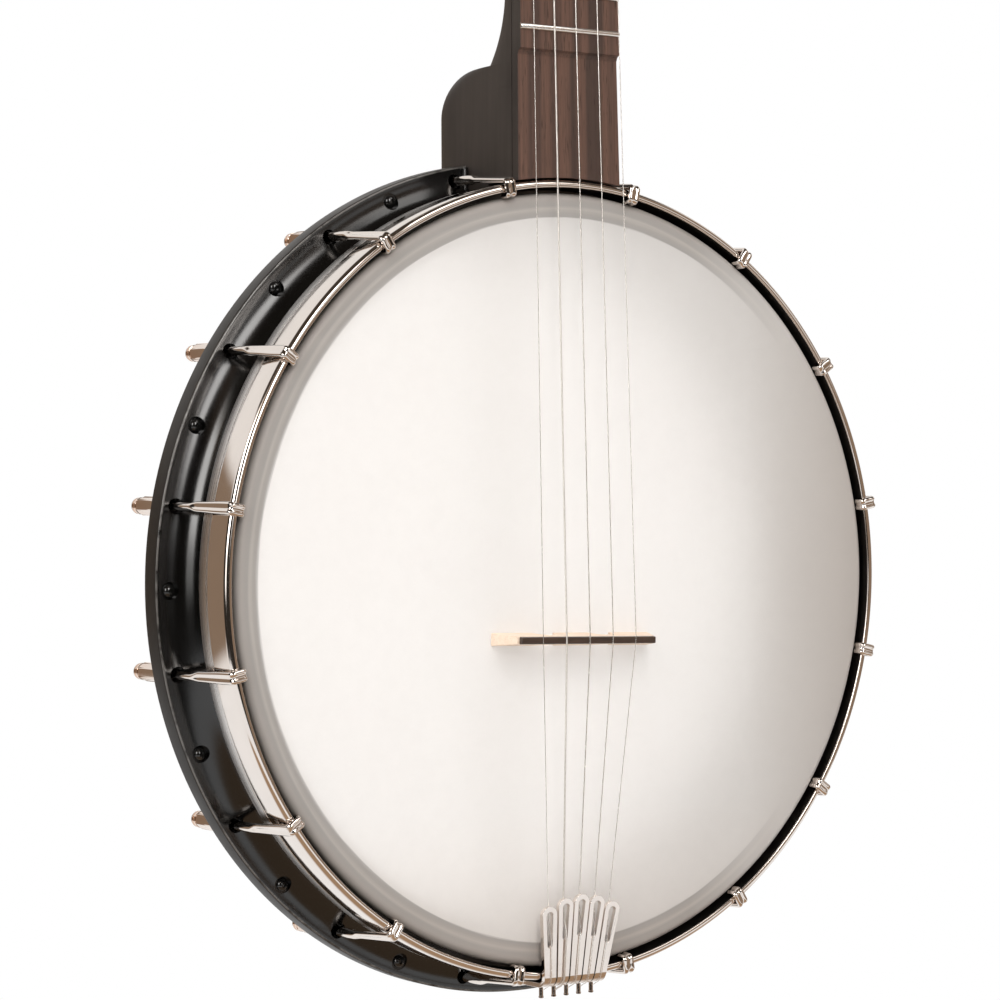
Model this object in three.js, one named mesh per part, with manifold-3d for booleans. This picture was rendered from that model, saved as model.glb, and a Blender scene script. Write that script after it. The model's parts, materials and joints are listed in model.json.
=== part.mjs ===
import * as THREE from 'three';
import { mergeVertices } from 'three/addons/utils/BufferGeometryUtils.js';
import Module from 'manifold-3d';

// Five-string open-back banjo with a twelve-inch pot, in millimetres.
// The banjo stands with its neck up. In the pot's frame Z runs up the neck, Y runs back
// from the front edge of the tension hoop towards the player (called depth below), and
// X runs to the right as seen from the front. The pot's axis is the Y axis.

const wasm = await Module();
wasm.setup();

// Driving dimensions of the pot
const rimOuterRadius = 152.4;
const rimWall = 13;
const rimBackDepth = 68;
const headDepth = 1.3;
const headFilm = 0.4;
const bearingRound = 3;
const bearingSlopeDrop = 4;
const rimEdgeChamfer = 1.2;

// Driving dimensions of the flange moulded on the rim
const flangeLip = 2.8;
const flangeFrontDepth = 36.6;
const flangeThickness = 8.7;
const flangeChamfer = 0.8;
const flangeLand = 2.2;
const coveRise = 12.4;
const cheekWall = 2;
const cheekProud = 2;

// Driving dimensions of the hoops
const hoopOverhang = 7;
const hoopWall = 3.1;
const hoopHeight = 13.5;
const hoopRound = 0.8;
const hoopFaceRound = 2;
const hoopFoot = 2.8;
const hoopFootThickness = 2.4;
const fleshHoopWall = 5.9;
const fleshHoopHeight = 7.7;
const fleshHoopRound = 0.8;
const collarStartDepth = 5.8;

// Driving dimensions of the bracket hooks and their long nuts
const hookCount = 16;
const hookOutset = 3.3;
const heelHookSpacing = 62.65;
const tailHookSpacing = 55.67;
const hookStrapWidth = 5;
const hookStrapThickness = 2.2;
const hookRodRadius = 2;
const hookTipDrop = 2.6;
const hookTipThickness = 2.4;
const hookNeckLength = 5;
const hookHoleRadius = 3.1;
const hookNutFlats = 6.5;
const hookNutHex = 18.2;
const hookNutDome = 3.7;
const screwRecessRadius = 3.4;
const screwRecessDeeper = 0.1;

// Driving dimensions of the scale, the strings and the bridge
const scaleLength = 647.7;
const bridgeBelowCentre = 23.6;
const bridgeHeight = 13.7;
const bridgeCapHeight = 2.4;
const bridgeSpacing = 11.4;
const bridgeFootSpan = 77;
const bridgeTopSpan = 65.6;
const bridgeFootThickness = 5.2;
const bridgeTopThickness = 2.6;
const bridgeArchWidth = 10;
const bridgeArchHeight = 6.6;
const bridgeArchOffset = 13.8;
const stringDiameters = [0.33, 0.72, 0.5, 0.43, 0.33];

// Driving dimensions of the neck and the fingerboard
const neckPitch = 1.32;
const boardSurfaceDepth = 0.3;
const boardThickness = 6;
const boardToHoop = 0.7;
const boardWidthAtLastFret = 48.5;
const boardWidthAtFifthFret = 41.9;
const nutWidth = 31.75;
const nutThickness = 5;
const nutProud = 1.9;
const nutEdgeInset = 2;
const nutSlopeShare = 0.3;
const lastFret = 17;
const fretWidth = 2.3;
const fretHeight = 1.05;
const scoopDepth = 2;
const scoopStart = 8.5;
const scoopCove = 2.4;
const scoopCoveShare = 0.35;
const fretCrownShare = 0.4;
const shaftDepthAtNut = 14;
const shaftDepthAtHeel = 15;
const heelDepth = 67;
const heelHeight = 53.3;
const heelShoulder = 17;
const heelFlareDepth = 40;
const heelFlareLength = 31;
const shoulderShares = [0, 0.35, 0.65, 0.87, 1];
const fifthStepOffset = 24;
const fifthStepLength = 12;

// Driving dimensions of the peghead and the tuners
const pegheadTilt = 13;
const pegheadThickness = 15;
const pegheadLength = 150;
const pegheadLowerWidth = 68;
const pegheadWaistWidth = 60;
const pegheadTopWidth = 70;
const pegheadCrown = 15;
const pegheadStepBack = 3;
const earShare = 0.72;
const postOffset = 22;
const lowerPostHeight = 46;
const upperPostInset = 52;
const postRadius = 3;
const postWaistRadius = 2.4;
const postLength = 17.5;
const postSeatDepth = 9;
const postHoleRadius = 0.8;
const postTaper = 0.8;
const postWaistShares = [0.45, 0.78, 0.86];
const coilHeightShare = 0.74;
const tunerBarrelRadius = 5;
const tunerNutFlats = 11.4;
const tunerNutThickness = 2.4;
const tunerCaseRadius = 7.4;
const tunerCaseLength = 14;
const caseRound = 1.3;
const buttonShaftRadius = 2;
const buttonGap = 2.4;
const buttonLength = 13;
const buttonWidth = 20;
const buttonThickness = 9;

// Driving dimensions of the fifth-string peg
const fifthPegOffset = 13;
const fifthPegDepth = 9.5;
const fifthPostRadius = 3.2;
const fifthPostLength = 7;
const fifthPostFlare = 0.8;
const fifthCoilOffset = 0.9;
const fifthCaseRadius = 5.6;
const fifthCaseLength = 11;
const fifthShaftDepth = 3.6;
const fifthPlugRadius = 3.4;
const fifthPlugLength = 12;
const fifthCoreRadius = 1.4;
const pipInset = 2.3;
const pipRadius = 1.5;
const pipHeight = 1.9;

// Driving dimensions of the tailpiece
const tailReach = 34.1;
const tailTipStepShares = [1, 0.28, 0, 0.28, 1];
const slotFootShare = 0.45;
const tailTipStep = 4;
const tailClearance = 2.4;
const tailTipDepth = -7.3;
const tailBendDepth = -2.3;
const tailThickness = 1.9;
const tailTipPitch = 7.7;
const tailRearPitch = 6.15;
const tailFingerGap = 0.5;
const tailSlotWidth = 3.2;
const tailSlotLength = 14.5;
const tailSlotInset = 2.3;
const tailPinRadius = 0.85;
const tailPinLength = 4.6;
const tailPinDepth = 4.3;
const tailPivotDepth = 16.2;
const tailPivotRadius = 1;
const tailKnuckleRadius = 1.9;
const tailEarWidth = 2.4;
const strapWidth = 14;
const strapBoltReach = 8;

// Driving dimensions of the coordinator rod and its fastenings
const rodDepth = 54;
const rodRadius = 4.75;
const boltRadius = 2.7;
const boltHeadFlats = 10;
const boltHeadThickness = 4;
const rimNutFlats = 13;
const rimNutThickness = 5;
const rodBoreDepth = 16;
const lagReach = 38;

// Driving dimensions of the truss rod
const trussRadius = 3;
const trussChannelDepth = 9;
const trussHeelInset = 30;
const trussNutFlats = 5;
const trussNutLength = 9;
const coverLength = 34;
const coverWidth = 19;
const coverThickness = 1.8;
const coverSideShares = [[1, 0], [1, 0.45], [0.62, 0.82]];

// Where a wall hanger's arms hold the banjo, above the nut and under the peghead's shoulders
const hangerHeight = 12;

// Clearances
const seat = 0.1;
const turnedSeat = 0.3;
const runningGap = 0.08;
const stringGap = 0.15;
const coilGap = 0.5;
const overrun = 20;

// Exponents of the neck's rounded sections, where two is an ellipse
const shaftFullness = 2.3;
const heelFullness = 5.7;

// Counts of facets
const ringSegments = 52;
const hexSides = 6;
const wireSides = 4;
const coveSegments = 5;
const smallSegments = 8;
const crownSegments = 6;
const slotSegments = 4;
const neckSegments = 12;
const coilStepsPerTurn = 12;
const coilTurns = 2;

// Even shares of a curve
const halfShares = [0, 1 / 2, 1];
const thirdShares = [0, 1 / 3, 2 / 3, 1];
const quarterShares = [0, 1 / 4, 2 / 4, 3 / 4, 1];

// Derived places
const rimInnerRadius = rimOuterRadius - rimWall;
const hoopOuterRadius = rimOuterRadius + hoopOverhang;
const hookCircleRadius = hoopOuterRadius + hookOutset;
const flangeRadius = hookCircleRadius + hookHoleRadius + flangeLip;
const rimFrontDepth = headDepth + headFilm + seat;
const coveTopDepth = flangeFrontDepth - coveRise;
const flangeBackDepth = flangeFrontDepth + flangeThickness;
const hoopInnerRadius = hoopOuterRadius - hoopWall;
const tailRearHeight = hoopOuterRadius + tailClearance;
const tailBendHeight = hoopInnerRadius + tailClearance;
const tailTipHeight = tailBendHeight - tailReach;
const fleshTopDepth = hoopHeight + seat;
const fleshInnerRadius = rimOuterRadius + seat;
const fleshBottomDepth = fleshTopDepth + fleshHoopHeight;
const collarOuterRadius = fleshInnerRadius + headFilm;
const bridgeZ = -bridgeBelowCentre;
const nutZ = bridgeZ + scaleLength;
const fretZ = (number) => bridgeZ + scaleLength / 2 ** (number / 12);
const lastFretZ = fretZ(lastFret);
const fifthFretZ = fretZ(5);
const fifthStepZ = fifthFretZ + fifthStepOffset;
const boardEndRadius = hoopOuterRadius + boardToHoop;
const heelHalfWidth = rightEdge(boardEndRadius);
const slotHalfWidth = heelHalfWidth + turnedSeat + turnedSeat;
const saddleDepth = headDepth - bridgeHeight;
const upperPostHeight = pegheadLength - upperPostInset;
const fifthPegZ = fifthFretZ + fifthPegOffset;

// Frames of the neck and of the peghead, from the pot's frame
const neckFrame = frameFrom(
  new THREE.Matrix4().makeTranslation(0, boardSurfaceDepth, lastFretZ),
  new THREE.Matrix4().makeRotationX(-THREE.MathUtils.degToRad(neckPitch)),
  new THREE.Matrix4().makeTranslation(0, 0, -lastFretZ),
);
const nutCentreX = rightEdge(nutZ) - nutWidth / 2;
const pegheadFrame = frameFrom(
  neckFrame,
  new THREE.Matrix4().makeTranslation(nutCentreX, pegheadStepBack, nutZ + nutThickness),
  new THREE.Matrix4().makeRotationX(-THREE.MathUtils.degToRad(pegheadTilt)),
);

function frameFrom(...matrices) {
  return matrices.reduce((whole, next) => whole.clone().multiply(next));
}

// Edges of the fingerboard at a height along the neck
function edgeSlope() {
  return (boardWidthAtLastFret - boardWidthAtFifthFret) / 2 / (fifthFretZ - lastFretZ);
}

function rightEdge(z) {
  return boardWidthAtLastFret / 2 - (z - lastFretZ) * edgeSlope();
}

function leftEdge(z) {
  const wide = -rightEdge(z);
  const narrow = rightEdge(nutZ) - nutWidth - (nutZ - z) * edgeSlope();
  const share = THREE.MathUtils.smoothstep(z, fifthStepZ, fifthStepZ + fifthStepLength);
  return THREE.MathUtils.lerp(wide, narrow, share);
}

// Materials
function finish(color, roughness, metalness) {
  return new THREE.MeshStandardMaterial({ color, roughness, metalness });
}

const blackMoulding = () => finish(0x1b1a19, 0.38, 0);
const frostedFilm = () => finish(0xf1ece6, 0.7, 0);
const polishedNickel = () => finish(0xd9d4cd, 0.12, 1);
const brushedSteel = () => finish(0xb9b6b1, 0.3, 1);
const blackStainedWood = () => finish(0x2b2726, 0.42, 0);
const boardWood = () => finish(0x4a342c, 0.55, 0);
const mapleWood = () => finish(0xe6c9a0, 0.5, 0);
const ebonyWood = () => finish(0x2a211c, 0.4, 0);
const boneWhite = () => finish(0xeee7d6, 0.35, 0);
const pearlPlastic = () => finish(0xe9e4d8, 0.25, 0);
const stringSteel = () => finish(0xcfcac3, 0.25, 1);

// Solid shapes
function solid(geometry) {
  const bare = geometry.clone();
  bare.deleteAttribute('normal');
  bare.deleteAttribute('uv');
  const merged = mergeVertices(bare);
  const position = merged.attributes.position;
  const corners = [];
  const index = merged.index.array;
  for (let i = 0; i < index.length; i += 3) {
    const [a, b, c] = [index[i], index[i + 1], index[i + 2]];
    if (a !== b && b !== c && c !== a) corners.push(a, b, c);
  }
  if (signedVolume(position, corners) < 0) corners.reverse();
  return new wasm.Manifold(new wasm.Mesh({
    numProp: 3,
    vertProperties: new Float32Array(position.array),
    triVerts: new Uint32Array(corners),
  }));
}

function signedVolume(position, corners) {
  const point = (i) => new THREE.Vector3().fromBufferAttribute(position, corners[i]);
  let sum = 0;
  for (let i = 0; i < corners.length; i += 3) {
    sum += point(i).dot(point(i + 1).cross(point(i + 2)));
  }
  return sum / 6;
}

function geometryOf(body) {
  const mesh = body.getMesh();
  const geometry = new THREE.BufferGeometry();
  geometry.setAttribute('position', new THREE.BufferAttribute(mesh.vertProperties, mesh.numProp));
  geometry.setIndex(new THREE.BufferAttribute(mesh.triVerts, 1));
  geometry.computeVertexNormals();
  return geometry;
}

function joined(...bodies) {
  return bodies.reduce((whole, next) => whole.add(next));
}

function cut(body, ...tools) {
  return tools.reduce((rest, tool) => rest.subtract(tool), body);
}

// A ring or a disc turned about the Y axis from (radius, depth) points
function turned(profile, segments = ringSegments) {
  const points = profile.map(([radius, depth]) => new THREE.Vector2(radius, depth));
  const onAxis = profile[0][0] === 0 && profile[profile.length - 1][0] === 0;
  if (!onAxis) points.push(points[0].clone());
  return new THREE.LatheGeometry(points, segments);
}

// A round bar between two points, or a hexagonal one with six sides
function bar(start, end, radius, sides = smallSegments) {
  const along = new THREE.Vector3().subVectors(end, start);
  const geometry = new THREE.CylinderGeometry(radius, radius, along.length(), sides);
  geometry.applyQuaternion(new THREE.Quaternion().setFromUnitVectors(
    new THREE.Vector3(0, 1, 0),
    along.clone().normalize(),
  ));
  return geometry.translate(...new THREE.Vector3().addVectors(start, end).divideScalar(2));
}

// A round hole whose flats, not its corners, lie at the radius
function hole(start, end, radius, sides = smallSegments) {
  return bar(start, end, radius / Math.cos(Math.PI / sides), sides);
}

function hexRadius(flats) {
  return flats / Math.sqrt(3);
}

function block(minimum, maximum) {
  const size = new THREE.Vector3().subVectors(maximum, minimum);
  const middle = new THREE.Vector3().addVectors(minimum, maximum).divideScalar(2);
  return new THREE.BoxGeometry(size.x, size.y, size.z).translate(middle.x, middle.y, middle.z);
}

function vec(x, y, z) {
  return new THREE.Vector3(x, y, z);
}

// A plate with its outline in X and Z and its thickness along Y
function frontPlate(outline, frontDepth, backDepth) {
  const shape = new THREE.Shape(outline.map(([x, z]) => new THREE.Vector2(x, z)));
  const thickness = backDepth - frontDepth;
  const geometry = new THREE.ExtrudeGeometry(shape, { depth: thickness, bevelEnabled: false });
  return geometry.rotateX(Math.PI / 2).translate(0, backDepth, 0);
}

// A plate with its outline in depth and height and its thickness along X
function sidePlate(outline, left, right) {
  const shape = new THREE.Shape(outline.map(([depth, z]) => new THREE.Vector2(depth, z)));
  const geometry = new THREE.ExtrudeGeometry(shape, { depth: right - left, bevelEnabled: false });
  return geometry.rotateX(Math.PI / 2).rotateZ(Math.PI / 2).translate(left, 0, 0);
}

// A closed skin over rings of points, with a flat cap at each end
function loft(rings) {
  const count = rings[0].length;
  const positions = rings.flat().flatMap((point) => [point.x, point.y, point.z]);
  const index = [];
  for (let ring = 0; ring < rings.length - 1; ring += 1) {
    for (let i = 0; i < count; i += 1) {
      const a = ring * count + i;
      const b = ring * count + ((i + 1) % count);
      index.push(a, b, a + count, b, b + count, a + count);
    }
  }
  const last = (rings.length - 1) * count;
  for (let i = 1; i < count - 1; i += 1) {
    index.push(0, i + 1, i, last, last + i, last + i + 1);
  }
  const geometry = new THREE.BufferGeometry();
  geometry.setAttribute('position', new THREE.Float32BufferAttribute(positions, 3));
  geometry.setIndex(index);
  return geometry;
}

// A thin round wire through a list of points
function wire(points, radius, sides = wireSides) {
  const tangents = points.map((point, i) => {
    const before = points[Math.max(i - 1, 0)];
    const after = points[Math.min(i + 1, points.length - 1)];
    return new THREE.Vector3().subVectors(after, before).normalize();
  });
  let across = new THREE.Vector3(1, 0, 0);
  const rings = points.map((point, i) => {
    across = across.clone().addScaledVector(tangents[i], -across.dot(tangents[i])).normalize();
    const other = new THREE.Vector3().crossVectors(tangents[i], across);
    return Array.from({ length: sides }, (_, side) => {
      const angle = (2 * Math.PI * side) / sides;
      return point.clone()
        .addScaledVector(across, radius * Math.cos(angle))
        .addScaledVector(other, radius * Math.sin(angle));
    });
  });
  return loft(rings);
}

// Angles of the hooks from the heel, clockwise seen from the front
function gapAngle(spacing) {
  return 2 * THREE.MathUtils.radToDeg(Math.asin(spacing / 2 / hookCircleRadius));
}

function hookAngles() {
  const heelGapAngle = gapAngle(heelHookSpacing);
  const tailGapAngle = gapAngle(tailHookSpacing);
  const spread = (360 - heelGapAngle - tailGapAngle) / (hookCount - 2);
  const half = hookCount / 2;
  const right = Array.from({ length: half }, (_, i) => heelGapAngle / 2 + i * spread);
  const left = right.map((angle) => 360 - angle).reverse();
  return [...right, ...left];
}

// The screws sit midway between the hooks, except over the heel and the tailpiece
function screwAngles() {
  const angles = hookAngles();
  return angles.slice(0, -1)
    .map((angle, i) => (angle + angles[i + 1]) / 2)
    .filter((_, i) => i !== hookCount / 2 - 1);
}

function onPot(radius, depth, degrees) {
  const angle = THREE.MathUtils.degToRad(degrees);
  return vec(radius * Math.sin(angle), depth, radius * Math.cos(angle));
}

// Rim with its moulded flange
function coveProfile() {
  const radial = flangeRadius - flangeLand - rimOuterRadius;
  return Array.from({ length: coveSegments + 1 }, (_, i) => {
    const angle = (Math.PI / 2) * (i / coveSegments);
    return [
      rimOuterRadius + radial * (1 - Math.cos(angle)),
      coveTopDepth + coveRise * Math.sin(angle),
    ];
  });
}

function bearingProfile() {
  const centre = [rimOuterRadius - bearingRound, rimFrontDepth + bearingRound];
  return halfShares.map((share) => {
    const angle = (Math.PI / 2) * share;
    return [
      centre[0] + bearingRound * Math.sin(angle),
      centre[1] - bearingRound * Math.cos(angle),
    ];
  });
}

function rimProfile() {
  return [
    [rimInnerRadius, rimBackDepth - rimEdgeChamfer],
    [rimInnerRadius, rimFrontDepth + bearingSlopeDrop],
    ...bearingProfile(),
    ...coveProfile(),
    [flangeRadius - flangeChamfer, flangeFrontDepth],
    [flangeRadius, flangeFrontDepth + flangeChamfer],
    [flangeRadius, flangeBackDepth - flangeChamfer],
    [flangeRadius - flangeChamfer, flangeBackDepth],
    [rimOuterRadius, flangeBackDepth],
    [rimOuterRadius, rimBackDepth - rimEdgeChamfer],
    [rimOuterRadius - rimEdgeChamfer, rimBackDepth],
    [rimInnerRadius + rimEdgeChamfer, rimBackDepth],
  ];
}

function heelSlot() {
  const opening = solid(block(
    vec(-slotHalfWidth, coveTopDepth - overrun, 0),
    vec(slotHalfWidth, flangeBackDepth + overrun, flangeRadius + overrun),
  ));
  const wall = solid(turned([
    [0, coveTopDepth - overrun - overrun],
    [rimOuterRadius, coveTopDepth - overrun - overrun],
    [rimOuterRadius, flangeBackDepth + overrun + overrun],
    [0, flangeBackDepth + overrun + overrun],
  ]));
  return cut(opening, wall);
}

// Low walls of the flange on each side of the heel
function heelCheeks() {
  const disc = solid(turned([
    [0, flangeFrontDepth - cheekProud],
    [flangeRadius - flangeChamfer, flangeFrontDepth - cheekProud],
    [flangeRadius - flangeChamfer, flangeBackDepth],
    [0, flangeBackDepth],
  ]));
  return [-1, 1].map((side) => {
    const inner = side * slotHalfWidth;
    const outer = side * (slotHalfWidth + cheekWall);
    return solid(block(
      vec(Math.min(inner, outer), flangeFrontDepth - cheekProud, rimOuterRadius),
      vec(Math.max(inner, outer), flangeBackDepth, flangeRadius),
    )).intersect(disc);
  });
}

function hookHoles() {
  return hookAngles().map((angle) => solid(hole(
    onPot(hookCircleRadius, coveTopDepth - overrun, angle),
    onPot(hookCircleRadius, flangeBackDepth + overrun, angle),
    hookHoleRadius,
  )));
}

function screwRecesses() {
  return screwAngles().map((angle) => solid(hole(
    onPot(hookCircleRadius, coveTopDepth, angle),
    onPot(hookCircleRadius, flangeFrontDepth + screwRecessDeeper, angle),
    screwRecessRadius,
  )));
}

function strapSlot() {
  const halfWidth = strapWidth / 2 + turnedSeat;
  return solid(block(
    vec(-halfWidth, coveTopDepth - overrun, -tailRearHeight - turnedSeat),
    vec(halfWidth, flangeBackDepth + overrun, -tailRearHeight + tailThickness + turnedSeat),
  ));
}

function rimBoltHole(side) {
  return solid(hole(
    vec(0, rodDepth, side * (rimInnerRadius - overrun)),
    vec(0, rodDepth, side * (rimOuterRadius + overrun)),
    boltRadius + runningGap,
  ));
}

function potRim() {
  const body = joined(cut(solid(turned(rimProfile())), heelSlot()), ...heelCheeks());
  const holes = [...hookHoles(), ...screwRecesses(), strapSlot(), rimBoltHole(1), rimBoltHole(-1)];
  return cut(body, ...holes);
}

// Head film, with its edge rolled over the rim
function drumHead() {
  const roll = bearingRound + headFilm;
  const inner = rimOuterRadius + seat;
  const centre = [inner - bearingRound, headDepth + roll];
  const arc = (radius) => halfShares.map((share) => {
    const angle = (Math.PI / 2) * share;
    return [centre[0] + radius * Math.sin(angle), centre[1] - radius * Math.cos(angle)];
  });
  const skirt = collarStartDepth - seat;
  return solid(turned([
    [0, headDepth],
    ...arc(roll),
    [centre[0] + roll, skirt],
    [inner, skirt],
    ...arc(bearingRound).reverse(),
    [0, headDepth + headFilm],
  ]));
}

// Crimped hoop of the head, with the collar that it grips
function fleshHoop() {
  const outer = fleshInnerRadius + headFilm + fleshHoopWall;
  return solid(turned([
    [fleshInnerRadius, collarStartDepth],
    [collarOuterRadius, collarStartDepth],
    [collarOuterRadius, fleshTopDepth],
    [outer - fleshHoopRound, fleshTopDepth],
    [outer, fleshTopDepth + fleshHoopRound],
    [outer, fleshBottomDepth - fleshHoopRound],
    [outer - fleshHoopRound, fleshBottomDepth],
    [fleshInnerRadius, fleshBottomDepth],
  ]));
}

function tensionHoop() {
  const footRadius = hoopInnerRadius - hoopFoot;
  const faceRound = quarterShares.map((share) => {
    const angle = share * Math.PI / 2;
    return [
      hoopOuterRadius - hoopFaceRound * (1 - Math.sin(angle)),
      hoopFaceRound * (1 - Math.cos(angle)),
    ];
  });
  return solid(turned([
    [hoopInnerRadius, hoopRound],
    [hoopInnerRadius + hoopRound, 0],
    ...faceRound,
    [hoopOuterRadius, hoopHeight],
    [footRadius, hoopHeight],
    [footRadius, hoopHeight - hoopFootThickness],
    [hoopInnerRadius, hoopHeight - hoopFootThickness],
  ]));
}

// One hook with its long nut, at the top of the pot before it is turned into place
function bracketHook() {
  const inner = hoopOuterRadius + turnedSeat;
  const strapMiddle = inner + hookStrapThickness / 2;
  const tipMiddle = hoopInnerRadius - turnedSeat - hookTipThickness / 2;
  const topMiddle = -turnedSeat - hookStrapThickness / 2;
  const halfStrap = hookStrapWidth / 2;
  const halfThickness = hookStrapThickness / 2;
  const strapEnd = coveTopDepth - hookNeckLength;
  const strapShare = (strapEnd - topMiddle) / (coveTopDepth - topMiddle);
  const strapEndRadius = THREE.MathUtils.lerp(strapMiddle, hookCircleRadius, strapShare);
  const stations = [
    { at: [tipMiddle, hookTipDrop], lean: 90, half: halfStrap, thick: hookTipThickness / 2 },
    { at: [tipMiddle, 0], lean: 90, half: halfStrap, thick: hookTipThickness / 2 },
    { at: [tipMiddle, topMiddle], lean: 45, half: halfStrap, thick: halfThickness * Math.SQRT2 },
    { at: [strapMiddle, topMiddle], lean: -45, half: halfStrap, thick: halfThickness * Math.SQRT2 },
    { at: [strapEndRadius, strapEnd], lean: -90, half: halfStrap, thick: halfThickness },
    { at: [hookCircleRadius, coveTopDepth], lean: -90, half: hookRodRadius, thick: hookRodRadius },
    {
      at: [hookCircleRadius, flangeBackDepth + hookNutHex / 2],
      lean: -90,
      half: hookRodRadius,
      thick: hookRodRadius,
    },
  ];
  return joined(solid(loft(stations.map(hookSection))), ...hookNut());
}

// Share of a hook's half width at which the flat front of its section ends
const cornerShare = 0.55;

// Six-sided section of a hook, across its path in the plane of radius and depth
function hookSection({ at, lean, half, thick }) {
  const angle = THREE.MathUtils.degToRad(lean);
  const outward = [Math.sin(angle), -Math.cos(angle)];
  const corners = [
    [half, 0],
    [half * cornerShare, thick],
    [-half * cornerShare, thick],
    [-half, 0],
    [-half * cornerShare, -thick],
    [half * cornerShare, -thick],
  ];
  return corners.map(([x, out]) => vec(x, at[1] + out * outward[1], at[0] - out * outward[0]));
}

// Dome of a long nut, as shares of its radius and height
const nutDomeShares = [[1, 0.35], [0.7, 0.85], [0, 1]];

function hookNut() {
  const start = flangeBackDepth + turnedSeat;
  const hexEnd = start + hookNutHex;
  const domeRadius = hookNutFlats / 2 - turnedSeat / 2;
  const hex = bar(
    vec(0, start, hookCircleRadius),
    vec(0, hexEnd, hookCircleRadius),
    hexRadius(hookNutFlats),
    hexSides,
  );
  const crown = nutDomeShares.map(([radiusShare, heightShare]) => (
    [domeRadius * radiusShare, hexEnd + hookNutDome * heightShare]
  ));
  const dome = turned([[0, hexEnd - turnedSeat], [domeRadius, hexEnd - turnedSeat], ...crown], hexSides)
    .translate(0, 0, hookCircleRadius);
  return [solid(hex), solid(dome)];
}

// Coordinator rod and the fastenings at its two ends
function coordinatorRod() {
  const reach = rimInnerRadius - rimNutThickness - turnedSeat - turnedSeat;
  const rod = solid(bar(vec(0, rodDepth, -reach), vec(0, rodDepth, reach), rodRadius));
  const bores = [-1, 1].map((side) => solid(hole(
    vec(0, rodDepth, side * (reach - rodBoreDepth)),
    vec(0, rodDepth, side * (reach + overrun)),
    boltRadius + runningGap,
  )));
  return cut(rod, ...bores);
}

function rimNut(side) {
  const flatInRim = Math.sqrt(rimInnerRadius ** 2 - (rimNutFlats / 2) ** 2);
  const outer = flatInRim - turnedSeat;
  const nut = solid(bar(
    vec(0, rodDepth, side * (outer - rimNutThickness)),
    vec(0, rodDepth, side * outer),
    hexRadius(rimNutFlats),
    hexSides,
  ));
  const bore = solid(hole(
    vec(0, rodDepth, side * (outer - rimNutThickness - overrun)),
    vec(0, rodDepth, side * (outer + overrun)),
    boltRadius + runningGap,
  ));
  return cut(nut, bore);
}

function rodEnd() {
  return rimInnerRadius - rimNutThickness - rodBoreDepth + turnedSeat;
}

function neckLagScrew() {
  return solid(bar(
    vec(0, rodDepth, rodEnd()),
    vec(0, rodDepth, rimOuterRadius + lagReach),
    boltRadius,
  ));
}

function tailBolt() {
  const headStart = rimOuterRadius + turnedSeat + tailThickness + turnedSeat;
  const shank = solid(bar(
    vec(0, rodDepth, -rodEnd()),
    vec(0, rodDepth, -headStart - boltHeadThickness / 2),
    boltRadius,
  ));
  const head = solid(bar(
    vec(0, rodDepth, -headStart),
    vec(0, rodDepth, -headStart - boltHeadThickness),
    hexRadius(boltHeadFlats),
    hexSides,
  ));
  return joined(shank, head);
}

// Tailpiece: five fingers on one pivot, carried by a strap
function fingerSideProfile() {
  const rearOuter = -tailRearHeight;
  const rearInner = rearOuter + tailThickness;
  const bend = -tailBendHeight;
  const tip = -tailTipHeight + overrun;
  const slope = (tailTipDepth - tailBendDepth) / (tailBendHeight - tailTipHeight);
  const frontAt = (z) => tailBendDepth + slope * (z - bend);
  const turn = tailBendHeight - tailRearHeight;
  const outerCurve = quarterShares.slice(1).map((share) => {
    const angle = (Math.PI / 2) * share;
    return [
      tailBendDepth - turn * (1 - Math.cos(angle)),
      bend + turn * Math.sin(angle),
    ];
  });
  const innerTurn = turn + tailThickness;
  const innerCurve = thirdShares.slice(1).reverse().map((share) => {
    const angle = (Math.PI / 2) * share;
    return [
      tailBendDepth + tailThickness - innerTurn * (1 - Math.cos(angle)),
      bend + innerTurn * Math.sin(angle),
    ];
  });
  return [
    [frontAt(tip), tip],
    [tailBendDepth, bend],
    ...outerCurve,
    [tailPivotDepth, rearOuter],
    [tailPivotDepth, rearInner],
    ...innerCurve,
    [tailBendDepth + tailThickness, bend],
    [frontAt(tip) + tailThickness, tip],
  ];
}

function fingerTip(number) {
  return -tailTipHeight - tailTipStep * tailTipStepShares[number];
}

function fingerPlan(number) {
  const place = number - 2;
  const tip = fingerTip(number);
  const rear = -tailRearHeight - tailRearPitch;
  const rearHalf = (tailRearPitch - tailFingerGap) / 2;
  const tipHalf = (tailTipPitch - tailFingerGap) / 2;
  const rearX = place * tailRearPitch;
  const tipX = place * tailTipPitch;
  const roundStart = tip - tipHalf;
  const crown = Array.from({ length: crownSegments + 1 }, (_, i) => {
    const angle = (Math.PI * i) / crownSegments;
    return [tipX + tipHalf * Math.cos(angle), roundStart + tipHalf * Math.sin(angle)];
  });
  const right = [[rearX + rearHalf, rear], [rearX + rearHalf, -tailBendHeight]];
  const left = [[rearX - rearHalf, -tailBendHeight], [rearX - rearHalf, rear]];
  return [...right, ...crown, ...left];
}

function fingerSlot(number) {
  const place = number - 2;
  const top = fingerTip(number) - tailSlotInset;
  const half = tailSlotWidth / 2;
  const lean = (tailTipPitch - tailRearPitch) / (tailBendHeight - tailTipHeight);
  const tipX = place * tailTipPitch;
  const bottomX = tipX - place * lean * tailSlotLength;
  const crown = Array.from({ length: slotSegments + 1 }, (_, i) => {
    const angle = (Math.PI * i) / slotSegments;
    return [tipX + half * Math.cos(angle), top - half + half * Math.sin(angle)];
  });
  const lowHalf = half * slotFootShare;
  const bottom = top - tailSlotLength;
  return [[bottomX - lowHalf, bottom], [bottomX + lowHalf, bottom], ...crown];
}

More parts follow.
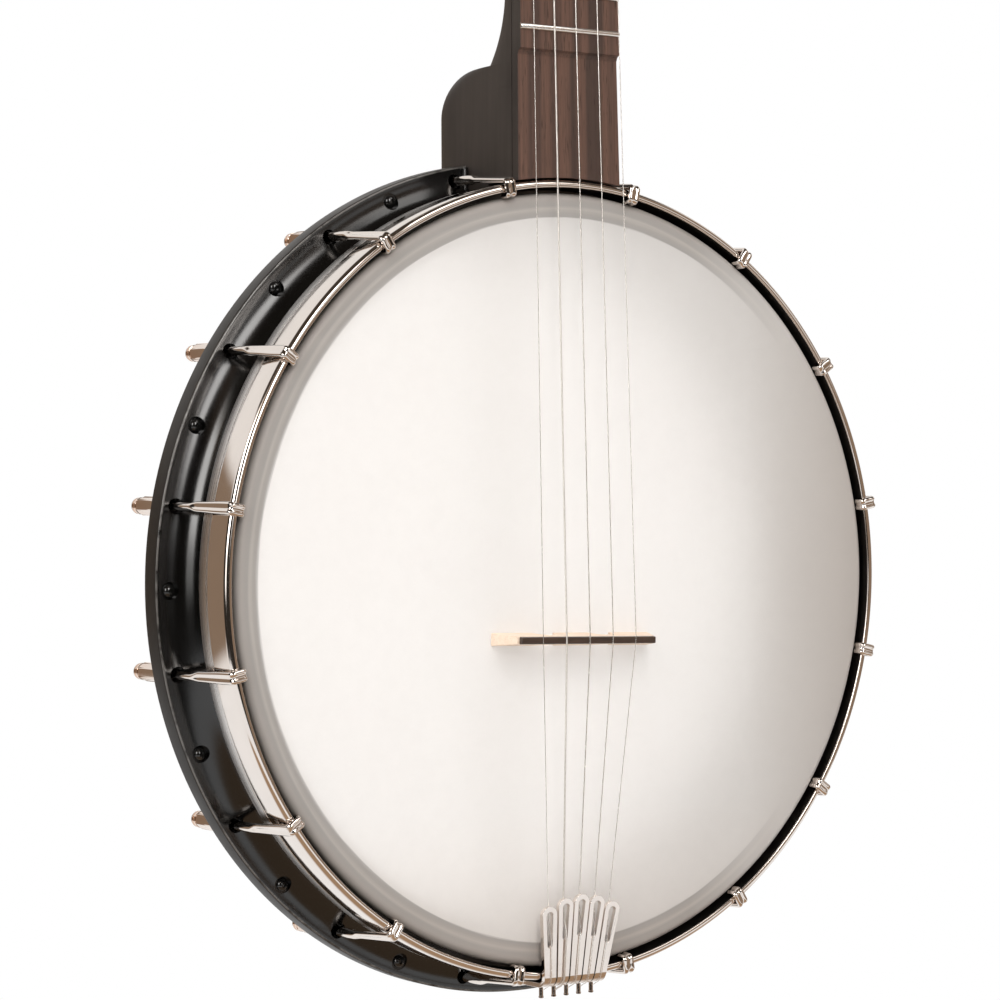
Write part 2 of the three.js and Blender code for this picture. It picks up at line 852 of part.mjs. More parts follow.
function tailpieceFinger(number) {
  const place = number - 2;
  const reach = tailTipPitch * stringDiameters.length;
  const strip = solid(sidePlate(fingerSideProfile(), -reach, reach));
  const plan = solid(frontPlate(fingerPlan(number), -overrun, tailPivotDepth + overrun));
  const slot = solid(frontPlate(fingerSlot(number), -overrun, headDepth));
  const x = place * tailRearPitch;
  const half = (tailRearPitch - tailFingerGap) / 2;
  const pivotZ = -tailRearHeight + tailKnuckleRadius / 2;
  const knuckle = solid(bar(
    vec(x - half, tailPivotDepth, pivotZ),
    vec(x + half, tailPivotDepth, pivotZ),
    tailKnuckleRadius,
  ));
  const pin = solid(bar(
    vec(x, tailPinDepth, -tailRearHeight + tailThickness / 2),
    vec(x, tailPinDepth, -tailRearHeight - tailPinLength),
    tailPinRadius,
    hexSides,
  ));
  const whole = joined(cut(strip.intersect(plan), slot), knuckle, pin);
  return cut(whole, pivotBore());
}

function pivotReach() {
  return (stringDiameters.length / 2) * tailRearPitch + tailEarWidth;
}

function pivotBore() {
  const z = -tailRearHeight + tailKnuckleRadius / 2;
  return solid(hole(
    vec(-pivotReach() - overrun, tailPivotDepth, z),
    vec(pivotReach() + overrun, tailPivotDepth, z),
    tailPivotRadius + runningGap,
  ));
}

function tailpiecePivot() {
  const z = -tailRearHeight + tailKnuckleRadius / 2;
  return solid(bar(
    vec(-pivotReach(), tailPivotDepth, z),
    vec(pivotReach(), tailPivotDepth, z),
    tailPivotRadius,
  ));
}

function tailpieceStrap() {
  const outer = -tailRearHeight;
  const inner = outer + tailThickness;
  const seatInner = -rimOuterRadius - turnedSeat;
  const seatOuter = seatInner - tailThickness;
  const joggle = flangeBackDepth + turnedSeat;
  const end = rodDepth + strapBoltReach;
  const front = tailPivotDepth + tailKnuckleRadius + tailFingerGap;
  const strip = solid(sidePlate([
    [front, outer],
    [joggle + tailThickness, outer],
    [joggle + tailThickness, seatOuter],
    [end, seatOuter],
    [end, seatInner],
    [joggle, seatInner],
    [joggle, inner],
    [front, inner],
  ], -strapWidth / 2, strapWidth / 2));
  const yokeEnd = front + tailRearPitch;
  const yoke = solid(block(
    vec(-pivotReach(), front, outer),
    vec(pivotReach(), yokeEnd, inner),
  ));
  const ears = [-1, 1].flatMap((side) => {
    const near = side * (pivotReach() - tailEarWidth + tailFingerGap);
    const far = side * pivotReach();
    const z = outer + tailKnuckleRadius / 2;
    const knuckle = bar(vec(near, tailPivotDepth, z), vec(far, tailPivotDepth, z), tailKnuckleRadius);
    const arm = block(
      vec(Math.min(near, far), tailPivotDepth, outer),
      vec(Math.max(near, far), yokeEnd, inner),
    );
    return [solid(knuckle), solid(arm)];
  });
  const boltHole = solid(hole(
    vec(0, rodDepth, seatInner + overrun),
    vec(0, rodDepth, seatOuter - overrun),
    boltRadius + runningGap,
  ));
  return cut(joined(strip, yoke, ...ears), pivotBore(), boltHole);
}

// Bridge with three feet, and its dark cap
function bridgeOutline() {
  const baseHeight = bridgeHeight - bridgeCapHeight;
  const capShare = bridgeCapHeight / bridgeHeight;
  const topHalf = THREE.MathUtils.lerp(bridgeTopSpan, bridgeFootSpan, capShare) / 2;
  const arch = (centre) => Array.from({ length: crownSegments + 1 }, (_, i) => {
    const angle = (Math.PI * i) / crownSegments;
    return [
      centre - (bridgeArchWidth / 2) * Math.cos(angle),
      bridgeArchHeight * Math.sin(angle),
    ];
  });
  return [
    [-bridgeFootSpan / 2, 0],
    ...arch(-bridgeArchOffset),
    ...arch(bridgeArchOffset),
    [bridgeFootSpan / 2, 0],
    [topHalf, baseHeight],
    [-topHalf, baseHeight],
  ];
}

function bridgeTaper() {
  const foot = bridgeFootThickness / 2;
  const top = bridgeTopThickness / 2;
  const sole = headDepth - seat;
  return solid(sidePlate([
    [sole, bridgeZ - foot],
    [sole, bridgeZ + foot],
    [saddleDepth, bridgeZ + top],
    [saddleDepth, bridgeZ - top],
  ], -bridgeFootSpan, bridgeFootSpan));
}

function standing(outline, from, to) {
  const shape = new THREE.Shape(outline.map(([x, height]) => new THREE.Vector2(x, height)));
  const geometry = new THREE.ExtrudeGeometry(shape, { depth: to - from, bevelEnabled: false });
  const basis = new THREE.Matrix4().makeBasis(vec(1, 0, 0), vec(0, -1, 0), vec(0, 0, -1));
  return geometry.applyMatrix4(basis).translate(0, headDepth - seat, to);
}

function bridgeBase() {
  const reach = bridgeFootThickness;
  return solid(standing(bridgeOutline(), bridgeZ - reach, bridgeZ + reach)).intersect(bridgeTaper());
}

function bridgeCap() {
  const baseHeight = bridgeHeight - bridgeCapHeight + seat;
  const topHeight = bridgeHeight - seat;
  const half = bridgeTopSpan / 2;
  const reach = bridgeFootThickness;
  const strip = solid(standing([
    [-half, baseHeight],
    [half, baseHeight],
    [half, topHeight],
    [-half, topHeight],
  ], bridgeZ - reach, bridgeZ + reach)).intersect(bridgeTaper());
  const notches = stringPlaces().map(({ x, radius }) => solid(block(
    vec(x - radius - stringGap, saddleDepth - overrun, bridgeZ - reach),
    vec(x + radius + stringGap, saddleDepth + radius + stringGap, bridgeZ + reach),
  )));
  return cut(strip, ...notches);
}

// Where each string crosses the bridge, from the short fifth string at the left
function stringPlaces() {
  return stringDiameters.map((diameter, i) => ({
    x: (i - 2) * bridgeSpacing,
    radius: diameter / 2,
  }));
}

// The four long strings share the nut
function nutPlace(number) {
  const left = rightEdge(nutZ) - nutWidth + nutEdgeInset;
  const pitch = (nutWidth - 2 * nutEdgeInset) / (stringDiameters.length - 2);
  return left + (number - 1) * pitch;
}

// Neck: shaft, heel and peghead in one piece of wood, in the neck's frame
function neckRing(z, back, fullness) {
  const left = leftEdge(z);
  const right = rightEdge(z);
  const middle = (left + right) / 2;
  const half = (right - left) / 2;
  const front = boardThickness + turnedSeat;
  const power = 2 / fullness;
  return Array.from({ length: neckSegments + 1 }, (_, i) => {
    const angle = (Math.PI * i) / neckSegments;
    const cosine = Math.cos(angle);
    const across = Math.sign(cosine) * Math.abs(cosine) ** power;
    const deep = Math.max(Math.sin(angle), 0) ** power;
    return vec(middle - half * across, front + (back - front) * deep, z);
  });
}

function shaftDepth(z) {
  const share = (nutZ - z) / (nutZ - lastFretZ);
  return boardThickness + THREE.MathUtils.lerp(shaftDepthAtNut, shaftDepthAtHeel, share);
}

function heelTop() {
  return rimOuterRadius + heelHeight;
}

function neckShaft() {
  const flareEnd = heelTop();
  const flareStart = flareEnd + heelFlareLength;
  const flares = quarterShares.map((share) => {
    const z = THREE.MathUtils.lerp(flareEnd, flareStart, share);
    const back = THREE.MathUtils.lerp(shaftDepth(flareStart), heelFlareDepth, (1 - share) ** 2);
    return neckRing(z, back, shaftFullness);
  });
  const step = thirdShares.map((share) => {
    const z = fifthStepZ + fifthStepLength * share;
    return neckRing(z, shaftDepth(z), shaftFullness);
  });
  const end = nutZ + nutThickness * 2;
  return solid(loft([
    neckRing(heelTop() - heelShoulder, heelFlareDepth, shaftFullness),
    ...flares,
    ...step,
    neckRing(nutZ, shaftDepth(nutZ), shaftFullness),
    neckRing(end, shaftDepth(nutZ), shaftFullness),
  ]));
}

function heelBlock() {
  const shoulderStart = heelTop() - heelShoulder;
  const back = heelDepth - boardSurfaceDepth;
  const shoulder = shoulderShares.map((share) => {
    const rounded = Math.sqrt(1 - share ** 2);
    const depth = THREE.MathUtils.lerp(heelFlareDepth + turnedSeat, back, rounded);
    return neckRing(shoulderStart + heelShoulder * share, depth, heelFullness);
  });
  return solid(loft([neckRing(rimInnerRadius, back, heelFullness), ...shoulder]));
}

// Space that the pot takes out of the heel and the end of the board
function potSpace() {
  const space = turned([
    [0, -overrun],
    [boardEndRadius, -overrun],
    [boardEndRadius, fleshBottomDepth + turnedSeat],
    [rimOuterRadius + turnedSeat, fleshBottomDepth + turnedSeat],
    [rimOuterRadius + turnedSeat, rimBackDepth + overrun],
    [0, rimBackDepth + overrun],
  ]);
  return solid(space.applyMatrix4(neckFrame.clone().invert()));
}

function lagHole() {
  const bore = hole(
    vec(0, rodDepth, rimInnerRadius),
    vec(0, rodDepth, rimOuterRadius + lagReach + turnedSeat),
    boltRadius + runningGap,
  );
  return solid(bore.applyMatrix4(neckFrame.clone().invert()));
}

function pegheadOutline() {
  const shape = new THREE.Shape();
  const nutHalf = nutWidth / 2;
  const [lower, waist, top] = [pegheadLowerWidth / 2, pegheadWaistWidth / 2, pegheadTopWidth / 2];
  const ear = lowerPostHeight * earShare;
  const waistHeight = (lowerPostHeight + upperPostHeight) / 2;
  const shoulder = pegheadLength - pegheadCrown;
  shape.moveTo(-nutHalf, -nutThickness);
  shape.lineTo(-nutHalf, nutThickness);
  shape.bezierCurveTo(-nutHalf, ear / 2, -lower, ear / 2, -lower, ear);
  shape.quadraticCurveTo(-waist, waistHeight, -top, shoulder);
  shape.quadraticCurveTo(-top, pegheadLength - nutThickness, 0, pegheadLength);
  shape.quadraticCurveTo(top, pegheadLength - nutThickness, top, shoulder);
  shape.quadraticCurveTo(waist, waistHeight, lower, ear);
  shape.bezierCurveTo(lower, ear / 2, nutHalf, ear / 2, nutHalf, nutThickness);
  shape.lineTo(nutHalf, -nutThickness);
  return shape.getPoints(crownSegments - 1).map((point) => [point.x, point.y]);
}

function toNeckFromPeghead(geometry) {
  return geometry.applyMatrix4(neckFrame.clone().invert().multiply(pegheadFrame));
}

function pegheadBody() {
  const plate = solid(frontPlate(pegheadOutline(), 0, pegheadThickness));
  const holes = tunerPlaces().map(({ x, z }) => solid(hole(
    vec(x, -overrun, z),
    vec(x, pegheadThickness + overrun, z),
    tunerBarrelRadius + turnedSeat,
  )));
  return solid(toNeckFromPeghead(geometryOf(cut(plate, ...holes))));
}

function fifthPegHole() {
  const edge = leftEdge(fifthPegZ);
  return solid(hole(
    vec(edge - overrun, fifthPegDepth, fifthPegZ),
    vec(edge + fifthPlugLength + turnedSeat, fifthPegDepth, fifthPegZ),
    fifthPlugRadius + turnedSeat,
  ));
}

function trussChannel() {
  const half = trussRadius + turnedSeat;
  const front = boardThickness;
  return joined(
    solid(block(
      vec(nutAxisX() - half, front - overrun, trussStart() - turnedSeat),
      vec(nutAxisX() + half, front + trussChannelDepth, nutZ + nutThickness + trussNutLength),
    )),
    solid(block(
      vec(nutAxisX() - trussNutFlats, -overrun, nutZ + nutThickness + turnedSeat),
      vec(
        nutAxisX() + trussNutFlats,
        front + trussChannelDepth,
        nutZ + nutThickness + trussNutLength + trussNutFlats,
      ),
    )),
  );
}

function nutAxisX() {
  return nutCentreX;
}

function trussStart() {
  return boardEndRadius + trussHeelInset;
}

function neckBody() {
  const nutSeat = solid(block(
    vec(leftEdge(nutZ) - overrun, -overrun, nutZ - overrun),
    vec(rightEdge(nutZ) + overrun, boardThickness + turnedSeat, nutZ + nutThickness + turnedSeat),
  ));
  const wood = joined(neckShaft(), heelBlock(), pegheadBody());
  return cut(wood, potSpace(), lagHole(), fifthPegHole(), trussChannel(), nutSeat);
}

// Fingerboard with its frets and the scoop beyond the last one
function boardOutline() {
  const heights = [rimInnerRadius, lastFretZ, fifthStepZ];
  const step = quarterShares.slice(1).map((share) => fifthStepZ + fifthStepLength * share);
  const rising = [...heights, ...step, nutZ - turnedSeat];
  const left = rising.map((z) => [leftEdge(z), z]);
  return [...left, ...rising.map((z) => [rightEdge(z), z]).reverse()];
}

function scoop() {
  const start = lastFretZ - scoopStart;
  return solid(sidePlate([
    [-overrun, start],
    [0, start],
    [scoopDepth * (1 - scoopCoveShare), start - scoopCove * scoopCoveShare],
    [scoopDepth, start - scoopCove],
    [scoopDepth, 0],
    [-overrun, 0],
  ], -boardWidthAtLastFret, boardWidthAtLastFret));
}

function fret(number) {
  const z = fretZ(number);
  const half = fretWidth / 2;
  const sunk = fretHeight / 2;
  return solid(sidePlate([
    [sunk, z - half],
    [0, z - half],
    [-fretHeight, z - half * fretCrownShare],
    [-fretHeight, z + half * fretCrownShare],
    [0, z + half],
    [sunk, z + half],
  ], leftEdge(z), rightEdge(z)));
}

function fretboard() {
  const plank = solid(frontPlate(boardOutline(), 0, boardThickness));
  const frets = Array.from({ length: lastFret }, (_, i) => fret(i + 1));
  const nutRoom = solid(block(
    vec(-boardWidthAtLastFret, -overrun, nutZ - turnedSeat),
    vec(boardWidthAtLastFret, boardThickness + overrun, nutZ + overrun),
  ));
  return cut(joined(cut(plank, scoop()), ...frets), potSpace(), nutRoom, pipHole());
}

function stringNut() {
  const left = rightEdge(nutZ) - nutWidth;
  const body = solid(sidePlate([
    [boardThickness, nutZ],
    [-nutProud, nutZ],
    [-nutProud * (1 - nutSlopeShare), nutZ + nutThickness * (1 - nutSlopeShare)],
    [0, nutZ + nutThickness],
    [boardThickness, nutZ + nutThickness],
  ], left, rightEdge(nutZ)));
  const slots = [1, 2, 3, 4].map((number) => {
    const { radius } = stringPlaces()[number];
    const floor = nutStringDepth(radius) + radius + stringGap;
    return solid(block(
      vec(nutPlace(number) - radius - stringGap, -overrun, nutZ - overrun),
      vec(nutPlace(number) + radius + stringGap, floor, nutZ + overrun),
    ));
  });
  return cut(body, ...slots);
}

function nutStringDepth(radius) {
  return -fretHeight - radius - stringGap;
}

function pipX() {
  return leftEdge(fifthFretZ) + pipInset;
}

function pipZ() {
  return fifthFretZ + fretWidth;
}

function pipHole() {
  return solid(hole(
    vec(pipX(), -overrun, pipZ()),
    vec(pipX(), boardThickness / 2, pipZ()),
    pipRadius + runningGap,
  ));
}

function fifthStringPip() {
  const peg = solid(bar(
    vec(pipX(), boardThickness / 2 - turnedSeat, pipZ()),
    vec(pipX(), -pipHeight, pipZ()),
    pipRadius,
  ));
  const { radius } = stringPlaces()[0];
  const slot = solid(block(
    vec(pipX() - radius - stringGap, -overrun, pipZ() - overrun),
    vec(pipX() + radius + stringGap, nutStringDepth(radius) + radius + stringGap, pipZ() + overrun),
  ));
  return cut(peg, slot);
}

// Truss rod in its channel under the board, and its cover on the peghead
function trussRod() {
  const y = boardThickness + trussChannelDepth - trussRadius - turnedSeat;
  const end = nutZ + nutThickness + turnedSeat;
  const rod = solid(bar(
    vec(nutAxisX(), y, trussStart()),
    vec(nutAxisX(), y, end + trussNutLength / 2),
    trussRadius - turnedSeat,
  ));
  const nut = solid(bar(
    vec(nutAxisX(), y, end),
    vec(nutAxisX(), y, end + trussNutLength - turnedSeat),
    hexRadius(trussNutFlats),
    hexSides,
  ));
  return joined(rod, nut);
}

function trussRodCover() {
  const start = nutThickness / 2;
  const half = coverWidth / 2;
  const right = coverSideShares.map(([x, z]) => [half * x, start + coverLength * z]);
  const left = right.map(([x, z]) => [-x, z]).reverse();
  const outline = [...right, [0, start + coverLength], ...left];
  return solid(frontPlate(outline, -coverThickness - turnedSeat, -turnedSeat));
}

// Tuners of the peghead, in its frame: the axis of each runs along Y
function tunerPlaces() {
  return [
    { x: -postOffset, z: lowerPostHeight },
    { x: -postOffset, z: upperPostHeight },
    { x: postOffset, z: upperPostHeight },
    { x: postOffset, z: lowerPostHeight },
  ];
}

function tunerHousing() {
  const back = pegheadThickness + turnedSeat;
  const caseEnd = back + tunerCaseLength;
  const round = caseRound;
  const nutFront = -turnedSeat - tunerNutThickness;
  const body = solid(turned([
    [0, nutFront - turnedSeat],
    [tunerBarrelRadius, nutFront - turnedSeat],
    [tunerBarrelRadius, back],
    [tunerCaseRadius, back],
    [tunerCaseRadius, caseEnd - round],
    [tunerCaseRadius - round, caseEnd],
    [0, caseEnd],
  ], smallSegments));
  const nut = solid(bar(
    vec(0, nutFront, 0),
    vec(0, -turnedSeat, 0),
    hexRadius(tunerNutFlats),
    hexSides,
  ));
  const postBore = solid(hole(
    vec(0, -overrun, 0),
    vec(0, postSeatDepth + turnedSeat, 0),
    postRadius + runningGap,
  ));
  const shaftBore = solid(hole(
    vec(0, caseEnd - tunerCaseLength / 2 - turnedSeat, 0),
    vec(0, caseEnd + overrun, 0),
    buttonShaftRadius + runningGap,
  ));
  return cut(joined(body, nut), postBore, shaftBore);
}

function tunerPost() {
  const [waistStart, waistEnd, headStart] = postWaistShares.map((share) => -postLength * share);
  const body = solid(turned([
    [0, postSeatDepth],
    [postRadius, postSeatDepth],
    [postRadius, waistStart + postTaper],
    [postWaistRadius, waistStart],
    [postWaistRadius, waistEnd],
    [postRadius, headStart],
    [postRadius, postTaper - postLength],
    [postWaistRadius, -postLength],
    [0, -postLength],
  ], smallSegments));
  const holeDepth = (waistStart + waistEnd) / 2;
  const eye = solid(hole(
    vec(-postRadius - overrun, holeDepth, 0),
    vec(postRadius + overrun, holeDepth, 0),
    postHoleRadius,
    hexSides,
  ));
  return cut(body, eye);
}

// Oval grip of a peg, as shares of its half width and length
const gripShares = [[0.35, 0], [0.86, 0.28], [1, 0.58], [0.86, 0.88], [0.4, 1]];

function grip(start, length, width, thickness) {
  const half = width / 2;
  const side = gripShares.map(([radiusShare, lengthShare]) => [half * radiusShare, length * lengthShare]);
  const shape = turned([[0, 0], ...side, [0, length]], smallSegments);
  return solid(shape.scale(1, 1, thickness / width).translate(0, start, 0));
}

function tunerButton() {
  const caseEnd = pegheadThickness + turnedSeat + tunerCaseLength;
  const gripStart = caseEnd + buttonGap;
  const shaft = solid(bar(
    vec(0, caseEnd - tunerCaseLength / 2, 0),
    vec(0, gripStart + buttonLength / 2, 0),
    buttonShaftRadius,
  ));
  return joined(shaft, grip(gripStart, buttonLength, buttonWidth, buttonThickness));
}

// Fifth-string peg, turned so that its axis runs along Y from the side of the neck
function fifthPegFrame() {
  const group = new THREE.Group();
  group.position.set(leftEdge(fifthPegZ), fifthPegDepth, fifthPegZ);
  group.rotation.z = Math.PI / 2;
  return group;
}

function fifthPegHousing() {
  const caseStart = fifthPostLength + turnedSeat + turnedSeat;
  const caseEnd = caseStart + fifthCaseLength;
  const round = caseRound;
  const plug = solid(bar(vec(0, -fifthPlugLength, 0), vec(0, 0, 0), fifthPlugRadius));
  const core = solid(bar(
    vec(0, -fifthPlugLength / 2, 0),
    vec(0, caseStart + fifthCaseLength / 2, 0),
    fifthCoreRadius,
  ));
  const body = solid(turned([
    [0, caseStart],
    [fifthCaseRadius, caseStart],
    [fifthCaseRadius, caseEnd - round],
    [fifthCaseRadius - round, caseEnd],
    [0, caseEnd],
  ], smallSegments));
  const bore = solid(hole(
    vec(0, caseEnd - fifthShaftDepth, 0),
    vec(0, caseEnd + overrun, 0),
    buttonShaftRadius + runningGap,
  ));
  return cut(joined(plug, core, body), bore);
}

function fifthPegPost() {
  const start = turnedSeat;
  const end = fifthPostLength;
  const flare = fifthPostRadius + fifthPostFlare;
  const boreRadius = (fifthCoreRadius + runningGap) / Math.cos(Math.PI / smallSegments);
  return solid(turned([
    [boreRadius, start],
    [fifthPostRadius, start],
    [fifthPostRadius, end - fifthPostFlare - fifthPostFlare],
    [flare, end - fifthPostFlare],
    [flare, end],
    [boreRadius, end],
  ], smallSegments));
}

function fifthPegButton() {
  const caseEnd = fifthPostLength + turnedSeat + turnedSeat + fifthCaseLength;
  const gripStart = caseEnd + buttonGap;
  const shaft = solid(bar(
    vec(0, caseEnd - fifthShaftDepth + turnedSeat, 0),
    vec(0, gripStart + buttonLength / 2, 0),
    buttonShaftRadius,
  ));
  return joined(shaft, grip(gripStart, buttonLength, buttonWidth, buttonThickness));
}

// Strings, from the pin of a tailpiece finger to the turns on a post
function tailRoute(number) {
  const { radius } = stringPlaces()[number];
  const place = number - 2;
  const gap = radius + turnedSeat;
  const slope = (tailTipDepth - tailBendDepth) / (tailBendHeight - tailTipHeight);
  const frontAt = (z) => tailBendDepth + slope * (z + tailBendHeight);
  const fan = (z) => {
    const share = (z + tailBendHeight) / (tailBendHeight - tailTipHeight);
    return place * THREE.MathUtils.lerp(tailRearPitch, tailTipPitch, share);
  };
  const tip = fingerTip(number);
  const slotTop = tip - tailSlotInset;
  const slotBottom = slotTop - tailSlotLength + tailSlotWidth;
  const slotStart = slotBottom - tailSlotWidth;
  const rearX = place * tailRearPitch;
  const side = tailPinRadius + gap;
  return [
    vec(rearX, tailPinDepth - side, -tailRearHeight - side),
    vec(rearX, tailBendDepth, -tailRearHeight - gap),
    vec(rearX, tailBendDepth - gap, -tailBendHeight - gap - gap),
    vec(fan(slotStart), frontAt(slotStart) - gap, slotStart),
    vec(fan(slotBottom), frontAt(slotBottom) - radius, slotBottom),
    vec(fan(slotTop), frontAt(slotTop) + tailThickness + gap, slotTop - tailSlotWidth / 2),
    vec(fan(tip), frontAt(tip) + tailThickness + gap, tip + gap),
  ];
}

function overBridge(number) {
  const { x } = stringPlaces()[number];
  return vec(x, saddleDepth, bridgeZ);
}

function coilRoute(centre, start, radius, along, pitch) {
  const offset = start.clone().sub(centre);
  const height = offset.dot(along);
  const out = offset.clone().addScaledVector(along, -height).normalize();
  const other = new THREE.Vector3().crossVectors(along, out);
  return Array.from({ length: coilTurns * coilStepsPerTurn + 1 }, (_, i) => {
    const angle = (2 * Math.PI * i) / coilStepsPerTurn;
    return centre.clone()
      .addScaledVector(along, height + (pitch * i) / coilStepsPerTurn)
      .addScaledVector(out, radius * Math.cos(angle))
      .addScaledVector(other, radius * Math.sin(angle));
  });
}

// Least gap between a turn and the next, measured on the points of the coil
function leastCoilGap(turns, radius) {
  const gaps = turns.flatMap((point, i) => turns
    .slice(i + coilStepsPerTurn / 2)
    .map((other) => point.distanceTo(other) - radius * 2));
  return Math.min(...gaps);
}

// Point where a line from a point touches a circle, in two dimensions
function tangentPoint(from, centre, radius, side) {
  const toward = Math.atan2(from.y - centre.y, from.x - centre.x);
  const open = Math.acos(radius / from.distanceTo(centre));
  const angle = toward + side * open;
  return new THREE.Vector2(
    centre.x + radius * Math.cos(angle),
    centre.y + radius * Math.sin(angle),
  );
}

function pegheadRoute(number) {
  const { radius } = stringPlaces()[number];
  const { x, z } = tunerPlaces()[number - 1];
  const slot = vec(nutPlace(number), nutStringDepth(radius), nutZ);
  const slotBack = vec(nutPlace(number), nutStringDepth(radius), nutZ + nutThickness / 2);
  const toPeghead = pegheadFrame.clone().invert().multiply(neckFrame);
  const from = slotBack.clone().applyMatrix4(toPeghead);
  const coilRadius = postWaistRadius + turnedSeat + radius;
  const side = x < 0 ? -1 : 1;
  const touch = tangentPoint(
    new THREE.Vector2(from.x, from.z),
    new THREE.Vector2(x, z),
    coilRadius,
    -side,
  );
  const start = vec(touch.x, -postLength * coilHeightShare, touch.y);
  const along = vec(0, side, 0);
  const turns = coilRoute(vec(x, 0, z), start, coilRadius, along, side * (radius * 2 + coilGap));
  console.log(`least gap of the coil on tuner ${number}: ${leastCoilGap(turns, radius).toFixed(2)} mm`);
  const coil = turns.map((point) => point.applyMatrix4(pegheadFrame));
  return [slot.applyMatrix4(neckFrame), slotBack.applyMatrix4(neckFrame), ...coil];
}

function fifthRoute() {
  const { radius } = stringPlaces()[0];
  const crest = vec(pipX(), nutStringDepth(radius), pipZ() - pipRadius);
  const crestEnd = vec(pipX(), nutStringDepth(radius), pipZ() + pipRadius + turnedSeat);
  const edge = leftEdge(fifthPegZ);
  const overEdge = vec(edge - turnedSeat, -radius - turnedSeat, (pipZ() + fifthPegZ) / 2);
  const coilRadius = fifthPostRadius + turnedSeat + radius;
  const touch = tangentPoint(
    new THREE.Vector2(overEdge.y, overEdge.z),
    new THREE.Vector2(fifthPegDepth, fifthPegZ),
    coilRadius,
    -1,
  );
  const start = vec(edge - fifthCoilOffset, touch.x, touch.y);
  const centre = vec(0, fifthPegDepth, fifthPegZ);
  const turns = coilRoute(centre, start, coilRadius, vec(-1, 0, 0), radius * 2 + coilGap);
  console.log(`least gap of the coil on the fifth peg: ${leastCoilGap(turns, radius).toFixed(2)} mm`);
  return [crest, crestEnd, overEdge, ...turns].map((point) => point.applyMatrix4(neckFrame));
}

function bankString(number) {
  const { radius } = stringPlaces()[number];
  const neckEnd = number === 0 ? fifthRoute() : pegheadRoute(number);
  return solid(wire([...tailRoute(number), overBridge(number), ...neckEnd], radius));
}

// Assembly
function piece(name, body, material) {
  const mesh = new THREE.Mesh(geometryOf(body), material);
  mesh.name = name;
  return mesh;
}

function twoDigits(number) {
  return String(number).padStart(2, '0');
}

function potGroup() {
  const group = new THREE.Group();
  group.add(
    piece('pot_rim', potRim(), blackMoulding()),
    piece('drum_head', drumHead(), frostedFilm()),
    piece('flesh_hoop', fleshHoop(), brushedSteel()),
    piece('tension_hoop', tensionHoop(), polishedNickel()),
    piece('coordinator_rod', coordinatorRod(), brushedSteel()),
    piece('heel_rim_nut', rimNut(1), brushedSteel()),
    piece('tail_rim_nut', rimNut(-1), brushedSteel()),
    piece('neck_lag_screw', neckLagScrew(), brushedSteel()),
    piece('tail_bolt', tailBolt(), polishedNickel()),
    piece('bridge_base', bridgeBase(), mapleWood()),
    piece('bridge_cap', bridgeCap(), ebonyWood()),
  );
  hookAngles().forEach((angle, i) => {
    const hook = piece(`bracket_hook_${twoDigits(i + 1)}`, bracketHook(), polishedNickel());
    hook.rotation.y = THREE.MathUtils.degToRad(angle);
    group.add(hook);
  });
  return group;
}

function tailpieceGroup() {
  const group = new THREE.Group();
  group.add(
    piece('tailpiece_strap', tailpieceStrap(), polishedNickel()),
    piece('tailpiece_pivot', tailpiecePivot(), brushedSteel()),
  );
  stringDiameters.forEach((_, i) => {
    group.add(piece(`tailpiece_finger_${i + 1}`, tailpieceFinger(i), polishedNickel()));
  });
  return group;
}

function fifthPegGroup() {
  const group = fifthPegFrame();
  group.add(
    piece('fifth_peg_housing', fifthPegHousing(), polishedNickel()),
    piece('fifth_peg_post', fifthPegPost(), polishedNickel()),
    piece('fifth_peg_button', fifthPegButton(), pearlPlastic()),
  );
  return group;
}

function pegheadGroup() {
  const group = new THREE.Group();
  const local = neckFrame.clone().invert().multiply(pegheadFrame);
  local.decompose(group.position, group.quaternion, group.scale);
  group.add(piece('truss_rod_cover', trussRodCover(), blackMoulding()));
  tunerPlaces().forEach(({ x, z }, i) => {
    const tuner = new THREE.Group();
    tuner.position.set(x, 0, z);
    tuner.add(
      piece(`tuner_${i + 1}_housing`, tunerHousing(), polishedNickel()),
      piece(`tuner_${i + 1}_post`, tunerPost(), polishedNickel()),
      piece(`tuner_${i + 1}_button`, tunerButton(), pearlPlastic()),
    );
    group.add(tuner);
  });
  return group;
}

function neckGroup() {
  const group = new THREE.Group();
  neckFrame.decompose(group.position, group.quaternion, group.scale);
  group.add(
    piece('neck', neckBody(), blackStainedWood()),
    piece('fretboard', fretboard(), boardWood()),
    piece('string_nut', stringNut(), boneWhite()),
    piece('fifth_string_pip', fifthStringPip(), boneWhite()),
    piece('truss_rod', trussRod(), brushedSteel()),
    fifthPegGroup(),
    pegheadGroup(),
  );
  return group;
}

function stringGroup() {
  const group = new THREE.Group();
  stringDiameters.forEach((_, i) => {
    group.add(piece(`string_${stringDiameters.length - i}`, bankString(i), stringSteel()));
  });
  return group;
}

// The origin is the point midway between the hanger's arms
const hangerPoint = vec(0, pegheadThickness / 2, hangerHeight).applyMatrix4(pegheadFrame);
const banjo = new THREE.Group();
banjo.add(potGroup(), tailpieceGroup(), neckGroup(), stringGroup());
banjo.position.copy(hangerPoint).negate();

export default banjo;
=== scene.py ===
import functools
import json
import math

import bmesh
import bpy
from mathutils import Matrix, Vector


